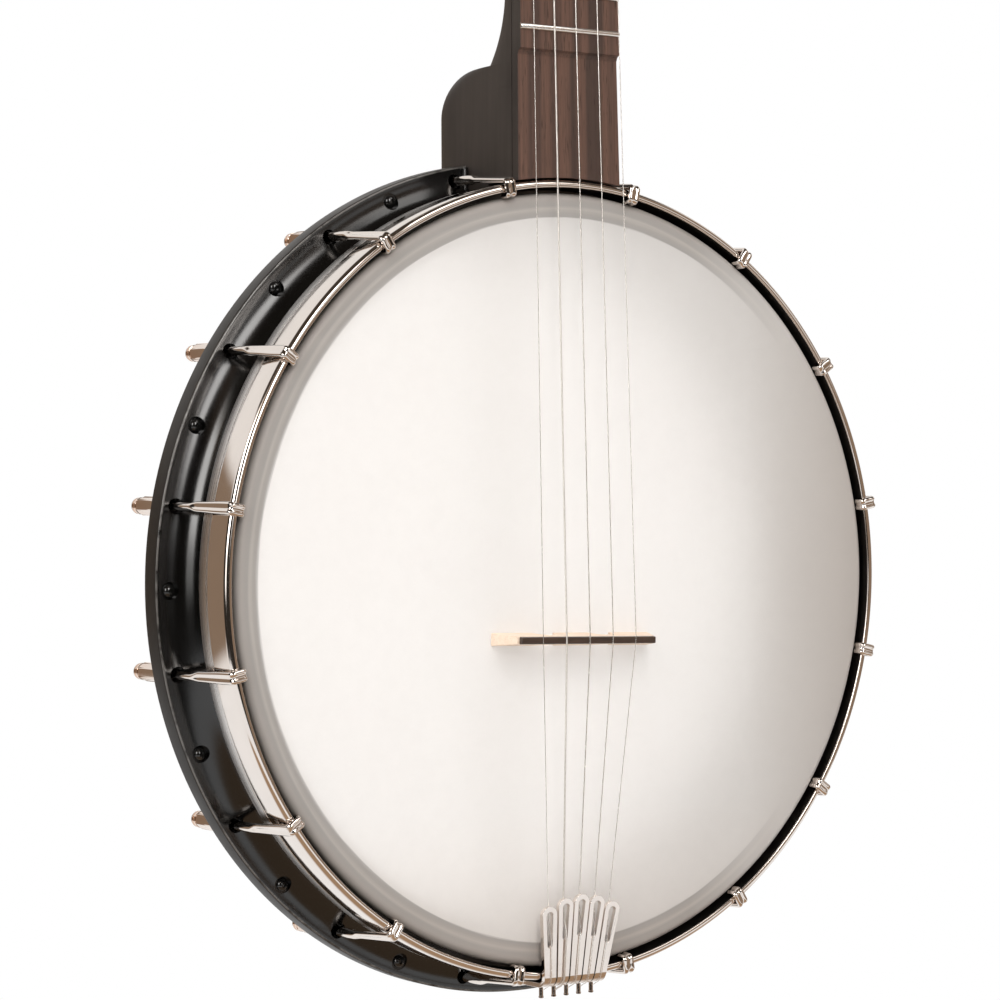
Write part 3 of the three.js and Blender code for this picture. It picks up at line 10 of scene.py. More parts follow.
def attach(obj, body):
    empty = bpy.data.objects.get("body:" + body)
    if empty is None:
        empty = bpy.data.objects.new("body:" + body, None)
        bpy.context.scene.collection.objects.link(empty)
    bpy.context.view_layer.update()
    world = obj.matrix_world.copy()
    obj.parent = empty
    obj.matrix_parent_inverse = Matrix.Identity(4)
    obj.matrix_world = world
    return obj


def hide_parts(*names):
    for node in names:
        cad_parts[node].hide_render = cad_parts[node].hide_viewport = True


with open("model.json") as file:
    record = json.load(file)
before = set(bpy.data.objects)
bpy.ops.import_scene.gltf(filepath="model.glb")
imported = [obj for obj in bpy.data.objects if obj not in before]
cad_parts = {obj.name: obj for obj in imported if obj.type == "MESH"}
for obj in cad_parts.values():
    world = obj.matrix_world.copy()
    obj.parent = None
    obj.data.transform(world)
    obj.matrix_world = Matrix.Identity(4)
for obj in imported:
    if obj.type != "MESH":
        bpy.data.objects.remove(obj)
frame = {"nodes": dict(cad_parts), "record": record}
bpy.context.scene.view_settings.view_transform = "Standard"
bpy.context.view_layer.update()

# The pot's frame is in millimetres: X right, Y back (depth), Z up the neck, origin on the pot's axis.
MM = 0.001
RIM_BACK_IN_POT = Vector((0.146, 0.068, 0))
mounts = {mount["name"]: mount for mount in frame["record"]["mounts"]}
POT_ORIGIN = Vector(mounts["rim_back"]["pos_m"]) - RIM_BACK_IN_POT
POT = Matrix.Translation(POT_ORIGIN) @ Matrix.Scale(MM, 4)

RING = 288
HOOK_COUNT = 16

# Sizes of the CAD model, in millimetres
RIM_OUTER = 152.4
RIM_INNER = 139.4
RIM_SEAT = 144.7
FILM_REACH = 153.8
RIM_FRONT = 1.8
RIM_BACK = 68
COVE_TOP = 24.2
FLANGE_FRONT = 36.6
FLANGE_BACK = 45.3
FLANGE_RADIUS = 168.6
FLANGE_LAND = 2.2
FLANGE_ROUND = 0.8
BEARING_ROUND = 3
BACK_ROUND = 1.2
CHEEK_THICKNESS = 2
HOOP_OUTER = 159.4
HOOP_INNER = 156.3
HOOP_HEIGHT = 13.5
HOOK_CIRCLE = 162.7
HEEL_HOOK_SPACING = 62.65
TAIL_HOOK_SPACING = 55.67
SCALE = 647.7
BRIDGE_Z = -23.6
BRIDGE_SLANT = 1.4
NUT_Z = BRIDGE_Z + SCALE
NUT_WIDTH = 31.75
NUT_THICKNESS = 5
NUT_INSET = 2
BOARD_THICKNESS = 6
WIDTH_AT_LAST_FRET = 48.5
WIDTH_AT_FIFTH_FRET = 41.9
STRING_DIAMETERS = [0.33, 0.72, 0.5, 0.43, 0.33]
ROD_DEPTH = 54
TAIL_REAR = 161.8
TAIL_BEND = 158.7
TAIL_TIP = 124.6
TAIL_TIP_DEPTH = -7.3
TAIL_BEND_DEPTH = -2.3
TAIL_THICKNESS = 1.9
BEND_RADIUS = 5
PIN_DEPTH = 4.3
PIN_LENGTH = 4.6
SLOT_WIDTH = 3.2
SLOT_LENGTH = 14.5
SLOT_INSET = 2.3
TIP_PITCH = 7.7
REAR_PITCH = 6.15
FINGER_GAP = 0.5
PIVOT_DEPTH = 16.2
HEEL_HEIGHT = 53.3
HEEL_SHOULDER = 17
HEEL_FULLNESS = 5.7
SHAFT_FULLNESS = 2.3
FLARE_DEPTH = 40
PEGHEAD_THICKNESS = 15
PEGHEAD_LENGTH = 150
TUNER_X = 22
TUNER_LOW = 46
TUNER_HIGH = 98
CASE_LENGTH = 14
GAP = 0.3
STRING_CLEARANCE = 0.15
STRING_SPACING = 11.4
COIL_GAP = 0.5
FILM_FRONT = 1.3
FILM_REAR = 1.7
ROLL_OUTER = 3.4
ROLL_INNER = 3
SKIRT_END = 5.7
BRIDGE_HEIGHT = 13.7
BRIDGE_TOP = FILM_FRONT - BRIDGE_HEIGHT
BRIDGE_SOLE = FILM_FRONT - 0.1
BRIDGE_LENGTH = 77
BRIDGE_BASE_HEIGHT = 11.3
BRIDGE_CAP_LENGTH = 65.6
ARCH_PLACE = 13.8
ARCH_HALF = 5
ARCH_HEIGHT = 6.6
STRAP_HALF = 7
BOLT_HOLE = 2.78
ROD_RADIUS = 4.75
HOOPS_BACK = 21.6
HEEL_START = HOOP_OUTER + 0.7
NECK_SETBACK = 0.3
NECK_TILT = -1.32
PEGHEAD_DROP = 3
PEGHEAD_TILT = -13
FRET_COUNT = 17
FRET_HEIGHT = 1.05
FRET_HALF = 1.15
PIP_INSET = 2.3
FIFTH_PEG_DEPTH = 9.5
POST_WAIST = 2.4
POST_TOP = -17.5
SPOOL_RADIUS = 3.2
SHAFT_RADIUS = 2
SHAFT_HOLE = 2.08
BUTTON_GAP = 2.4
BUTTON_LENGTH = 13
BUTTON_WIDTH = 20
BUTTON_THICKNESS = 9


def fret_z(number):
    return BRIDGE_Z + SCALE / 2 ** (number / 12)


LAST_FRET_Z = fret_z(FRET_COUNT)
FIFTH_FRET_Z = fret_z(5)
STEP_Z = FIFTH_FRET_Z + 24
STEP_LENGTH = 12
FIFTH_PEG_Z = FIFTH_FRET_Z + 13
EDGE_SLOPE = (WIDTH_AT_LAST_FRET - WIDTH_AT_FIFTH_FRET) / 2 / (FIFTH_FRET_Z - LAST_FRET_Z)


def right_edge(z):
    return WIDTH_AT_LAST_FRET / 2 - (z - LAST_FRET_Z) * EDGE_SLOPE


def smooth(low, high, value):
    share = min(max((value - low) / (high - low), 0), 1)
    return share * share * (3 - 2 * share)


def lerp(a, b, share):
    return a + (b - a) * share


def left_edge(z):
    narrow = right_edge(NUT_Z) - NUT_WIDTH - (NUT_Z - z) * EDGE_SLOPE
    return lerp(-right_edge(z), narrow, smooth(STEP_Z, STEP_Z + STEP_LENGTH, z))


def turn_x(degrees):
    return Matrix.Rotation(math.radians(degrees), 4, "X")


def turn_y(degrees):
    return Matrix.Rotation(math.radians(degrees), 4, "Y")


def shift(*amounts):
    return Matrix.Translation(amounts)


NUT_CENTRE = right_edge(NUT_Z) - NUT_WIDTH / 2
AT_NUT = shift(NUT_CENTRE, PEGHEAD_DROP, NUT_Z + NUT_THICKNESS)
NECK_IN_POT = shift(0, NECK_SETBACK, LAST_FRET_Z) @ turn_x(NECK_TILT) @ shift(0, 0, -LAST_FRET_Z)
PEGHEAD_IN_POT = NECK_IN_POT @ AT_NUT @ turn_x(PEGHEAD_TILT)
NECK = POT @ NECK_IN_POT
PEGHEAD = POT @ PEGHEAD_IN_POT
HEEL_HALF = right_edge(HEEL_START)
SLOT_HALF = HEEL_HALF + 2 * GAP
PIP_X = left_edge(FIFTH_FRET_Z) + PIP_INSET
PIP_Z = FIFTH_FRET_Z + PIP_INSET

# Camera at the photograph's place: angles in degrees, lengths in millimetres
CAMERA_ANGLES = (-34.93, 0.54, -0.12)
CAMERA_DISTANCE = 1334.7
CAMERA_RIGHT = -28.56
CAMERA_UP = 31.85
SENSOR_WIDTH = 36
FOCAL_LENGTH = 120.5


def add_camera():
    azimuth, elevation, roll = (math.radians(angle) for angle in CAMERA_ANGLES)
    back = Vector((
        math.sin(azimuth) * math.cos(elevation),
        -math.cos(azimuth) * math.cos(elevation),
        math.sin(elevation),
    ))
    across = Vector((math.cos(azimuth), math.sin(azimuth), 0))
    above = back.cross(across)
    right = math.cos(roll) * across + math.sin(roll) * above
    up = -math.sin(roll) * across + math.cos(roll) * above
    spot = POT @ (CAMERA_DISTANCE * back + CAMERA_RIGHT * right + CAMERA_UP * up)
    data = bpy.data.cameras.new("camera")
    data.sensor_width = SENSOR_WIDTH
    data.lens = FOCAL_LENGTH
    data.clip_start = 0.05
    data.clip_end = 20
    camera = bpy.data.objects.new("camera", data)
    camera.matrix_world = Matrix.Translation(spot) @ Matrix((right, up, back)).transposed().to_4x4()
    bpy.context.collection.objects.link(camera)
    bpy.context.scene.camera = camera


# Mesh parts: each is a list of points and a list of faces
def lathe(profile, count=RING):
    points, faces, rings = [], [], []
    for radius, depth in profile:
        steps = 1 if radius == 0 else count
        rings.append([len(points) + i for i in range(steps)])
        for i in range(steps):
            angle = 2 * math.pi * i / count
            points.append((radius * math.sin(angle), depth, radius * math.cos(angle)))
    closed = profile[0][0] > 0 or profile[-1][0] > 0
    for a, b in zip(rings, rings[1:] + rings[:1] if closed else rings[1:]):
        for i in range(count):
            j = (i + 1) % count
            corners = [a[i % len(a)], a[j % len(a)], b[j % len(b)], b[i % len(b)]]
            faces.append(list(dict.fromkeys(corners)))
    return points, faces


def loft(rings):
    count = len(rings[0])
    points = [tuple(point) for ring in rings for point in ring]
    faces = [list(range(count)), [(len(rings) - 1) * count + i for i in range(count)]]
    for ring in range(len(rings) - 1):
        for i in range(count):
            a, b = ring * count + i, ring * count + (i + 1) % count
            faces.append([a, b, b + count, a + count])
    return points, faces


def prism(outline, low, high, place):
    return loft([[place(u, v, level) for u, v in outline] for level in (low, high)])


def front_plate(outline, low, high):
    return prism(outline, low, high, lambda x, z, depth: (x, depth, z))


def side_plate(outline, low, high):
    return prism(outline, low, high, lambda depth, z, x: (x, depth, z))


def block(low, high):
    corners = [(low[0], low[2]), (high[0], low[2]), (high[0], high[2]), (low[0], high[2])]
    return front_plate(corners, low[1], high[1])


def circle(centre, across, other, radius, sides):
    angles = [2 * math.pi * k / sides for k in range(sides)]
    return [centre + radius * (across * math.cos(a) + other * math.sin(a)) for a in angles]


def tube(path, radius, sides):
    path = [Vector(point) for point in path]
    across, rings = Vector((1, 0, 0)), []
    for i, point in enumerate(path):
        along = (path[min(i + 1, len(path) - 1)] - path[max(i - 1, 0)]).normalized()
        across = (across - along * across.dot(along)).normalized()
        rings.append(circle(point, across, along.cross(across), radius, sides))
    return loft(rings)


def bar(start, end, radius, sides=48, chamfer=0.0):
    start, end = Vector(start), Vector(end)
    along = (end - start).normalized()
    across = along.orthogonal().normalized()
    cut = along * chamfer
    stations = [(start + cut, radius), (end - cut, radius)]
    if chamfer:
        stations = [(start, radius - chamfer), *stations, (end, radius - chamfer)]
    return loft([circle(centre, across, along.cross(across), r, sides) for centre, r in stations])


def hex_stack(stations, flats, sides=48):
    """Rings about the Y axis, each a hexagon cut back to a circle: (depth, largest radius)."""
    rings = []
    for depth, limit in stations:
        ring = []
        for i in range(sides):
            angle = 2 * math.pi * i / sides
            fold = (angle + math.pi / 6) % (math.pi / 3) - math.pi / 6
            radius = min(flats / 2 / math.cos(fold), limit)
            ring.append((radius * math.sin(angle), depth, radius * math.cos(angle)))
        rings.append(ring)
    return loft(rings)


def moved(part, matrix):
    return [tuple(matrix @ Vector(point)) for point in part[0]], part[1]


def along_axis(start, direction):
    """Matrix that takes the Y axis to a direction from a start."""
    turn = Vector((0, 1, 0)).rotation_difference(Vector(direction)).to_matrix().to_4x4()
    return Matrix.Translation(start) @ turn


def rounded(corners, steps=4, closed=True):
    """(u, v, radius) corners of an outline, as points with each corner rounded."""
    result = []
    for i, (u, v, radius) in enumerate(corners):
        at_end = not closed and i in (0, len(corners) - 1)
        if radius == 0 or at_end:
            result.append((u, v))
            continue
        corner = Vector((u, v))
        before = (Vector(corners[i - 1][:2]) - corner).normalized()
        after = (Vector(corners[(i + 1) % len(corners)][:2]) - corner).normalized()
        half = before.angle(after) / 2
        centre = corner + (before + after).normalized() * radius / math.sin(half)
        start = corner + before * radius / math.tan(half) - centre
        end = corner + after * radius / math.tan(half) - centre
        turn = start.angle_signed(end)
        for step in range(steps + 1):
            share = turn * step / steps
            result.append(tuple(centre + Matrix.Rotation(-share, 2) @ start))
    return result


def arc(centre, radius, start, end, steps):
    angles = [math.radians(lerp(start, end, i / steps)) for i in range(steps + 1)]
    return [(centre[0] + radius * math.cos(a), centre[1] + radius * math.sin(a)) for a in angles]


# Pieces are made in millimetres, and place() puts them into the frame in metres
def solid(*parts):
    points, faces = [], []
    for part_points, part_faces in parts:
        faces += [[len(points) + i for i in face] for face in part_faces]
        points += part_points
    mesh = bpy.data.meshes.new("part")
    mesh.from_pydata(points, [], faces)
    made = bmesh.new()
    made.from_mesh(mesh)
    bmesh.ops.remove_doubles(made, verts=made.verts, dist=1e-5)
    bmesh.ops.recalc_face_normals(made, faces=made.faces)
    made.to_mesh(mesh)
    made.free()
    piece = bpy.data.objects.new("part", mesh)
    bpy.context.collection.objects.link(piece)
    return piece


def settle(piece):
    graph = bpy.context.evaluated_depsgraph_get()
    mesh = bpy.data.meshes.new_from_object(piece.evaluated_get(graph))
    old = piece.data
    piece.modifiers.clear()
    piece.data = mesh
    bpy.data.meshes.remove(old)


def carve(piece, *parts, operation="DIFFERENCE"):
    for part in parts:
        tool = solid(part)
        change = piece.modifiers.new("carve", "BOOLEAN")
        change.operation = operation
        change.solver = "MANIFOLD"
        change.object = tool
        settle(piece)
        bpy.data.objects.remove(tool)
    return piece


def soften(piece, width, steps=2, angle=40):
    merge = bmesh.new()
    merge.from_mesh(piece.data)
    bmesh.ops.remove_doubles(merge, verts=merge.verts, dist=1e-4)
    bmesh.ops.dissolve_limit(
        merge, angle_limit=math.radians(0.5), verts=merge.verts, edges=merge.edges, delimit={"NORMAL"},
    )
    merge.to_mesh(piece.data)
    merge.free()
    bevel = piece.modifiers.new("soften", "BEVEL")
    bevel.width = width
    bevel.segments = steps
    bevel.limit_method = "ANGLE"
    bevel.angle_limit = math.radians(angle)
    bevel.use_clamp_overlap = True
    settle(piece)
    return piece


def place(piece, name, finish, slot, nodes=(), body="banjo", at=POT, sharp=38, weighted=False):
    piece.name = name
    piece.data.name = name
    piece.data.transform(at)
    piece.data.materials.clear()
    for material in finish if isinstance(finish, (list, tuple)) else [finish]:
        piece.data.materials.append(material)
    piece.data.shade_smooth()
    piece.data.set_sharp_from_angle(angle=math.radians(sharp))
    if weighted:
        piece.modifiers.new("weighted", "WEIGHTED_NORMAL").keep_sharp = True
    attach(piece, body)
    if nodes:
        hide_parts(*([nodes] if isinstance(nodes, str) else nodes))
    return piece


# Node helpers
WHITE = (1.0, 1.0, 1.0)


def tinted(color, share):
    return tuple(value * share for value in color)


class Nodes:
    """Short calls that add nodes to one node tree."""

    def __init__(self, tree):
        self.tree = tree

    def join(self, value, socket):
        """Links an output to a socket, or sets the socket to a plain value."""
        if hasattr(value, "is_output"):
            self.tree.links.new(value, socket)
        elif socket.type == "RGBA":
            socket.default_value = (*value, 1)
        else:
            socket.default_value = value

    def node(self, kind, operation=None, **inputs):
        """A new node; i0, i1 and so on name its inputs by their number."""
        made = self.tree.nodes.new("ShaderNode" + kind)
        if operation:
            made.operation = operation
        for key, value in inputs.items():
            self.join(value, made.inputs[int(key[1:]) if key[1:].isdigit() else key])
        return made

    def math(self, operation, a, b=0.0):
        return self.node("Math", operation, i0=a, i1=b).outputs[0]

    def product(self, *values):
        return functools.reduce(lambda a, b: self.math("MULTIPLY", a, b), values)

    def largest(self, *values):
        return functools.reduce(lambda a, b: self.math("MAXIMUM", a, b), values)

    def inverse(self, value):
        return self.math("SUBTRACT", 1.0, value)

    def split(self, vector):
        return self.node("SeparateXYZ", Vector=vector).outputs

    def span(self, value, low, high, to_low=0.0, to_high=1.0, kind="LINEAR"):
        made = self.node("MapRange", Value=value)
        made.interpolation_type = kind
        ends = {"From Min": low, "From Max": high, "To Min": to_low, "To Max": to_high}
        for socket, number in ends.items():
            made.inputs[socket].default_value = number
        return made.outputs["Result"]

    def ease(self, value, low, high):
        return self.span(value, low, high, kind="SMOOTHSTEP")

    def within(self, value, low, high, soft):
        """1 between two limits and 0 outside, with soft edges."""
        above_high = self.ease(value, high - soft, high + soft)
        return self.product(self.ease(value, low - soft, low + soft), self.inverse(above_high))

    def mix(self, share, a, b, blend="MIX"):
        made = self.tree.nodes.new("ShaderNodeMix")
        made.data_type = "RGBA"
        made.blend_type = blend
        for number, value in ((0, share), (6, a), (7, b)):
            self.join(value, made.inputs[number])
        return made.outputs[2]

    def tint(self, a, b):
        return self.mix(1.0, a, b, "MULTIPLY")


class Look(Nodes):
    """One material and its Principled shader."""

    def __init__(self, name, color, roughness, metallic=0.0, **sockets):
        self.material = bpy.data.materials.new(name)
        self.material.use_nodes = True
        super().__init__(self.material.node_tree)
        self.shader = self.tree.nodes["Principled BSDF"]
        self.feed("Base Color", color)
        self.feed("Roughness", roughness)
        self.feed("Metallic", metallic)
        for socket, value in sockets.items():
            self.feed(socket.replace("_", " "), value)
        self.here = self.node("TexCoord").outputs["Object"]

    def feed(self, socket, value):
        self.join(value, self.shader.inputs[socket])

    def roughen(self, value, low, high):
        self.feed("Roughness", self.span(value, 0.3, 0.7, low, high))

    def bump(self, height, distance, strength):
        made = self.node("Bump", Height=height, Distance=distance, Strength=strength)
        self.feed("Normal", made.outputs["Normal"])

    def stretched(self, *factors):
        return self.node("VectorMath", "MULTIPLY", i0=self.here, i1=factors).outputs[0]

    def about(self, centre, stretch=WHITE):
        offset = self.node("VectorMath", "SUBTRACT", i0=self.here, i1=centre).outputs[0]
        return self.node("VectorMath", "MULTIPLY", i0=offset, i1=stretch).outputs[0]

    def round_pot(self, stretch):
        """Coordinates round the pot: arc length at the rim, depth and radius, in metres."""
        across, depth, height = self.split(self.about(POT_ORIGIN))
        squares = self.math("ADD", self.math("POWER", across, 2.0), self.math("POWER", height, 2.0))
        radius = self.math("SQRT", squares)
        angle = self.product(self.math("ARCTAN2", across, height), RIM_OUTER * MM)
        joined = self.node("CombineXYZ", X=angle, Y=depth, Z=radius).outputs[0]
        return self.node("VectorMath", "MULTIPLY", i0=joined, i1=stretch).outputs[0], radius

    def noise(self, vector, scale, detail=3.0, roughness=0.5):
        made = self.node("TexNoise", Vector=vector, Scale=scale, Detail=detail, Roughness=roughness)
        return made.outputs["Fac"]

    def ramp(self, value, *stops):
        made = self.node("ValToRGB", Fac=value)
        elements = made.color_ramp.elements
        while len(elements) < len(stops):
            elements.new(0.5)
        for element, (position, color) in zip(elements, stops):
            element.position = position
            element.color = (*color, 1)
        return made.outputs["Color"]


def moulding_look(name, color=(0.0015, 0.0014, 0.0013), roughness=(0.15, 0.2), shine=0.75, edge_highlight=False):
    look = Look(name, color, roughness[0], Specular_IOR_Level=shine)
    cloud = look.noise(look.here, 60, 4)
    look.roughen(cloud, *roughness)
    shade = look.mix(look.noise(look.here, 240, 5), color, tinted(color, 1.7))
    # Painted highlight: paler patches along the front edge of the flange's lip stand in for the sheen that
    # edge catches.
    if edge_highlight:
        vector, radius = look.round_pot((60, 1, 1))
        depth = look.split(vector)[1]
        edge = look.product(look.span(radius, 0.1675, 0.1679), look.span(depth, 0.0375, 0.0371))
        patches = look.span(look.noise(vector, 3, 4), 0.3, 0.5)
        shade = look.mix(look.product(edge, patches), shade, (0.13, 0.122, 0.115))
    look.feed("Base Color", shade)
    look.bump(look.noise(look.here, 1400, 2), 0.00003, 0.35)
    return look.material


def nickel_look(name, color=(0.83, 0.765, 0.715), roughness=(0.05, 0.12), round_lines=False, rosy=False):
    look = Look(name, color, roughness[0], 1.0)
    cloud = look.noise(look.here, 90, 4)
    fine = look.noise(look.here, 900, 3)
    look.feed("Roughness", look.span(look.math("ADD", cloud, look.product(fine, 0.3)),
                                     0.45, 0.85, *roughness))
    shade = look.mix(cloud, color, tinted(color, 0.93))
    if rosy:
        depth = look.split(look.about(POT_ORIGIN))[1]
        shade = look.mix(look.span(depth, 0.0455, 0.0635, 0, 1), shade, (0.78, 0.62, 0.52))
    look.feed("Base Color", shade)
    if round_lines:
        vector, _ = look.round_pot((12, 1600, 1600))
        height = look.noise(vector, 1, 3)
        look.bump(height, 0.00001, 0.35)
    else:
        look.bump(look.noise(look.here, 260, 2), 0.00004, 0.3)
    return look.material


def satin_hoop_look(name):
    look = Look(name, (0.80, 0.765, 0.745), 0.3, 1.0)
    vector, _ = look.round_pot((20, 2600, 2600))
    lines = look.noise(vector, 1, 4)
    look.roughen(lines, 0.22, 0.36)
    look.feed("Base Color", look.mix(lines, (0.82, 0.785, 0.765), (0.72, 0.69, 0.665)))
    look.bump(lines, 0.00002, 0.5)
    return look.material


def steel_look(name):
    color, roughness = (0.58, 0.565, 0.54), (0.22, 0.38)
    look = Look(name, color, roughness[0], 1.0)
    lines = look.noise(look.stretched(1, 1, 0.08), 1500, 3)
    look.roughen(lines, *roughness)
    look.feed("Base Color", look.mix(look.noise(look.here, 120, 4), color, tinted(color, 0.85)))
    look.bump(lines, 0.00002, 0.4)
    return look.material


# Painted shading of the film from its flat part out over its roll: a grey band where the rim lies behind it,
# a painted highlight streak mid-ring, and painted shade next to the hoop
RING_PAINTED_SHADING = [
    (0.06, WHITE), (0.12, (0.55, 0.54, 0.535)), (0.28, (0.6, 0.58, 0.56)), (0.4, (0.73, 0.705, 0.68)),
    (0.52, (0.56, 0.545, 0.53)), (0.75, (0.58, 0.55, 0.53)), (1.0, (0.42, 0.395, 0.37)),
]


def film_look(name):
    """Film whose frosted coat scatters both the light in front and what lies behind it, with painted shade
    and light on its ring, its roll and its sides.
    """
    look = Look(name, (0.93, 0.905, 0.885), 0.55, Transmission_Weight=0.43, IOR=1.45)
    vector, radius = look.round_pot((18, 700, 700))
    across, depth, height = look.split(look.about(POT_ORIGIN))
    speck = look.noise(look.here, 2200, 2)
    cloud = look.noise(look.here, 14, 5, 0.6)
    streaks = look.noise(vector, 1, 4, 0.6)
    mottle = look.noise(look.here, 170, 4, 0.6)
    plain = look.mix(look.span(cloud, 0.3, 0.7), (0.95, 0.91, 0.88), (0.97, 0.935, 0.905))
    # Painted light: the middle and right of the film are painted 3% brighter than its far left.
    plain = look.tint(plain, look.mix(look.span(across, -0.12, -0.02), WHITE, (1.03, 1.03, 1.03)))
    # Painted shade: the film is painted darker and warmer towards its right side and towards its bottom.
    painted_shade_right_low = look.mix(look.span(across, 0.09, 0.15), plain, (0.78, 0.715, 0.665))
    painted_shade_right_low = look.tint(painted_shade_right_low, look.mix(look.span(height, -0.09, -0.15), WHITE, (1.0, 0.965, 0.94)))
    wavy = look.math("ADD", radius, look.product(look.math("SUBTRACT", streaks, 0.5), 0.002))
    # Painted shading of the ring over the rim and by the hoop, left off on the right side.
    rings = look.ramp(look.span(wavy, 0.1435, 0.1545), *RING_PAINTED_SHADING)
    ring_shading_off_right = look.mix(look.span(across, 0.06, 0.11), rings, (0.97, 0.965, 0.96))
    # Painted shade: the film's roll down into the hoop's groove is painted dark.
    roll_shade = look.mix(look.span(depth, 0.0024, 0.0056), WHITE, (0.3, 0.27, 0.25))
    shade = look.tint(look.tint(painted_shade_right_low, ring_shading_off_right), roll_shade)
    mottled = look.mix(look.span(mottle, 0.35, 0.7, 0.0, 0.06), shade, (0.62, 0.585, 0.56))
    look.feed("Base Color", look.mix(look.span(speck, 0.2, 0.8, 0.0, 0.1), mottled, (0.7, 0.67, 0.65)))
    look.feed("Roughness", look.span(speck, 0.2, 0.8, 0.5, 0.6))
    look.bump(speck, 0.00002, 0.4)
    return look.material


def film_back_look(name):
    look = Look(name, (0.97, 0.965, 0.96), 0.62, Transmission_Weight=1.0, IOR=1.45)
    cloud = look.noise(look.here, 60, 3)
    look.roughen(cloud, 0.58, 0.66)
    look.bump(look.noise(look.here, 900, 2), 0.00002, 0.3)
    return look.material


def black_wood_look(name):
    color = (0.031, 0.0252, 0.022)
    look = Look(name, color, 0.42, Specular_IOR_Level=0.35)
    grain = look.noise(look.stretched(1, 1, 0.05), 420, 6, 0.6)
    cloud = look.noise(look.here, 22, 3)
    grained = look.mix(look.span(grain, 0.25, 0.75), color, (0.042, 0.0345, 0.0305))
    patches = look.mix(look.span(cloud, 0.35, 0.65), (0.72, 0.72, 0.74), (1.3, 1.28, 1.25))
    look.feed("Base Color", look.tint(grained, patches))
    look.roughen(cloud, 0.4, 0.5)
    look.bump(grain, 0.00003, 0.4)
    return look.material


def board_wood_look(name):
    look = Look(name, (0.09, 0.055, 0.042), 0.5, Specular_IOR_Level=0.25)
    wide = look.noise(look.about((0.003, 0, 0), (1, 0.4, 0.012)), 95, 2, 0.4)
    streak = look.noise(look.stretched(1, 1, 0.02), 900, 6, 0.65)
    pores = look.noise(look.stretched(1, 1, 0.045), 2600, 2, 0.4)
    base = look.ramp(wide, (0.36, (0.064, 0.04, 0.032)), (0.46, (0.145, 0.078, 0.056)),
                     (0.53, (0.07, 0.043, 0.035)), (0.62, (0.2, 0.1, 0.07)))
    lined = look.mix(look.span(streak, 0.35, 0.68, 0, 0.5), base, (0.055, 0.034, 0.027))
    dark = look.span(pores, 0.62, 0.72)
    look.feed("Base Color", look.mix(dark, lined, (0.03, 0.019, 0.015)))
    look.roughen(streak, 0.42, 0.6)
    look.bump(look.math("SUBTRACT", streak, look.product(dark, 1.2)), 0.00005, 0.5)
    return look.material


def pale_wood_look(name):
    look = Look(name, (0.75, 0.56, 0.36), 0.5)
    rings = look.noise(look.stretched(0.06, 1, 1), 700, 5, 0.6)
    flecks = look.noise(look.stretched(0.25, 1, 1), 2400, 2)
    base = look.mix(look.span(rings, 0.3, 0.7), (0.93, 0.77, 0.63), (0.86, 0.67, 0.52))
    look.feed("Base Color", look.mix(look.span(flecks, 0.6, 0.75, 0, 0.4), base, (0.52, 0.32, 0.2)))
    look.roughen(rings, 0.45, 0.58)
    look.bump(rings, 0.00003, 0.4)
    return look.material


def dark_wood_look(name):
    look = Look(name, (0.035, 0.022, 0.017), 0.35)
    grain = look.noise(look.stretched(0.05, 1, 1), 1300, 5, 0.6)
    shade = look.mix(look.span(grain, 0.35, 0.7), (0.03, 0.02, 0.015), (0.075, 0.042, 0.028))
    look.feed("Base Color", shade)
    look.roughen(grain, 0.3, 0.48)
    look.bump(grain, 0.00002, 0.4)
    return look.material


def bone_look(name):
    color = (0.84, 0.8, 0.68)
    look = Look(name, color, 0.3)
    cloud = look.noise(look.stretched(0.3, 1, 1), 500, 4)
    look.feed("Base Color", look.mix(cloud, color, tinted(color, 0.86)))
    look.roughen(cloud, 0.24, 0.38)
    return look.material


def pearl_look(name):
    look = Look(name, (0.8, 0.76, 0.66), 0.2, Coat_Weight=0.4, Coat_Roughness=0.08)
    bend = look.node("TexNoise", Vector=look.here, Scale=130.0, Detail=3.0)
    swirl = look.mix(0.06, look.here, bend.outputs["Color"])
    layers = look.noise(swirl, 190, 2)
    look.feed("Base Color", look.ramp(layers, (0.34, (0.70, 0.655, 0.55)), (0.5, (0.84, 0.80, 0.71)),
                                      (0.66, (0.76, 0.735, 0.66))))
    look.roughen(layers, 0.16, 0.3)
    return look.material


def string_look(name, wound=False):
    look = Look(name, (0.88, 0.85, 0.81), 0.26, 0.85)
    if wound:
        turns = look.node("TexWave", Vector=look.stretched(0.02, 0.02, 1), Scale=650.0,
                          Distortion=0.4)
        turns.bands_direction = "Z"
        look.feed("Base Color", look.mix(turns.outputs["Fac"], (0.62, 0.58, 0.54), (0.95, 0.92, 0.88)))
        look.feed("Roughness", look.span(turns.outputs["Fac"], 0, 1, 0.4, 0.3))
        look.bump(turns.outputs["Fac"], 0.00004, 0.6)
    else:
        cloud = look.noise(look.here, 700, 3)
        look.roughen(cloud, 0.2, 0.28)
        look.feed("Base Color", look.mix(cloud, (0.9, 0.87, 0.83), (0.82, 0.79, 0.75)))
    return look.material


MOULDING = moulding_look("black_moulding", edge_highlight=True)
MOULDING_EDGE = moulding_look("flange_edge", (0.013, 0.0106, 0.0088), (0.36, 0.46), 0.3)
NICKEL = nickel_look("polished_nickel")
HOOK_NICKEL = nickel_look("hook_nickel", rosy=True)
HOOP_NICKEL = nickel_look("hoop_nickel", round_lines=True)
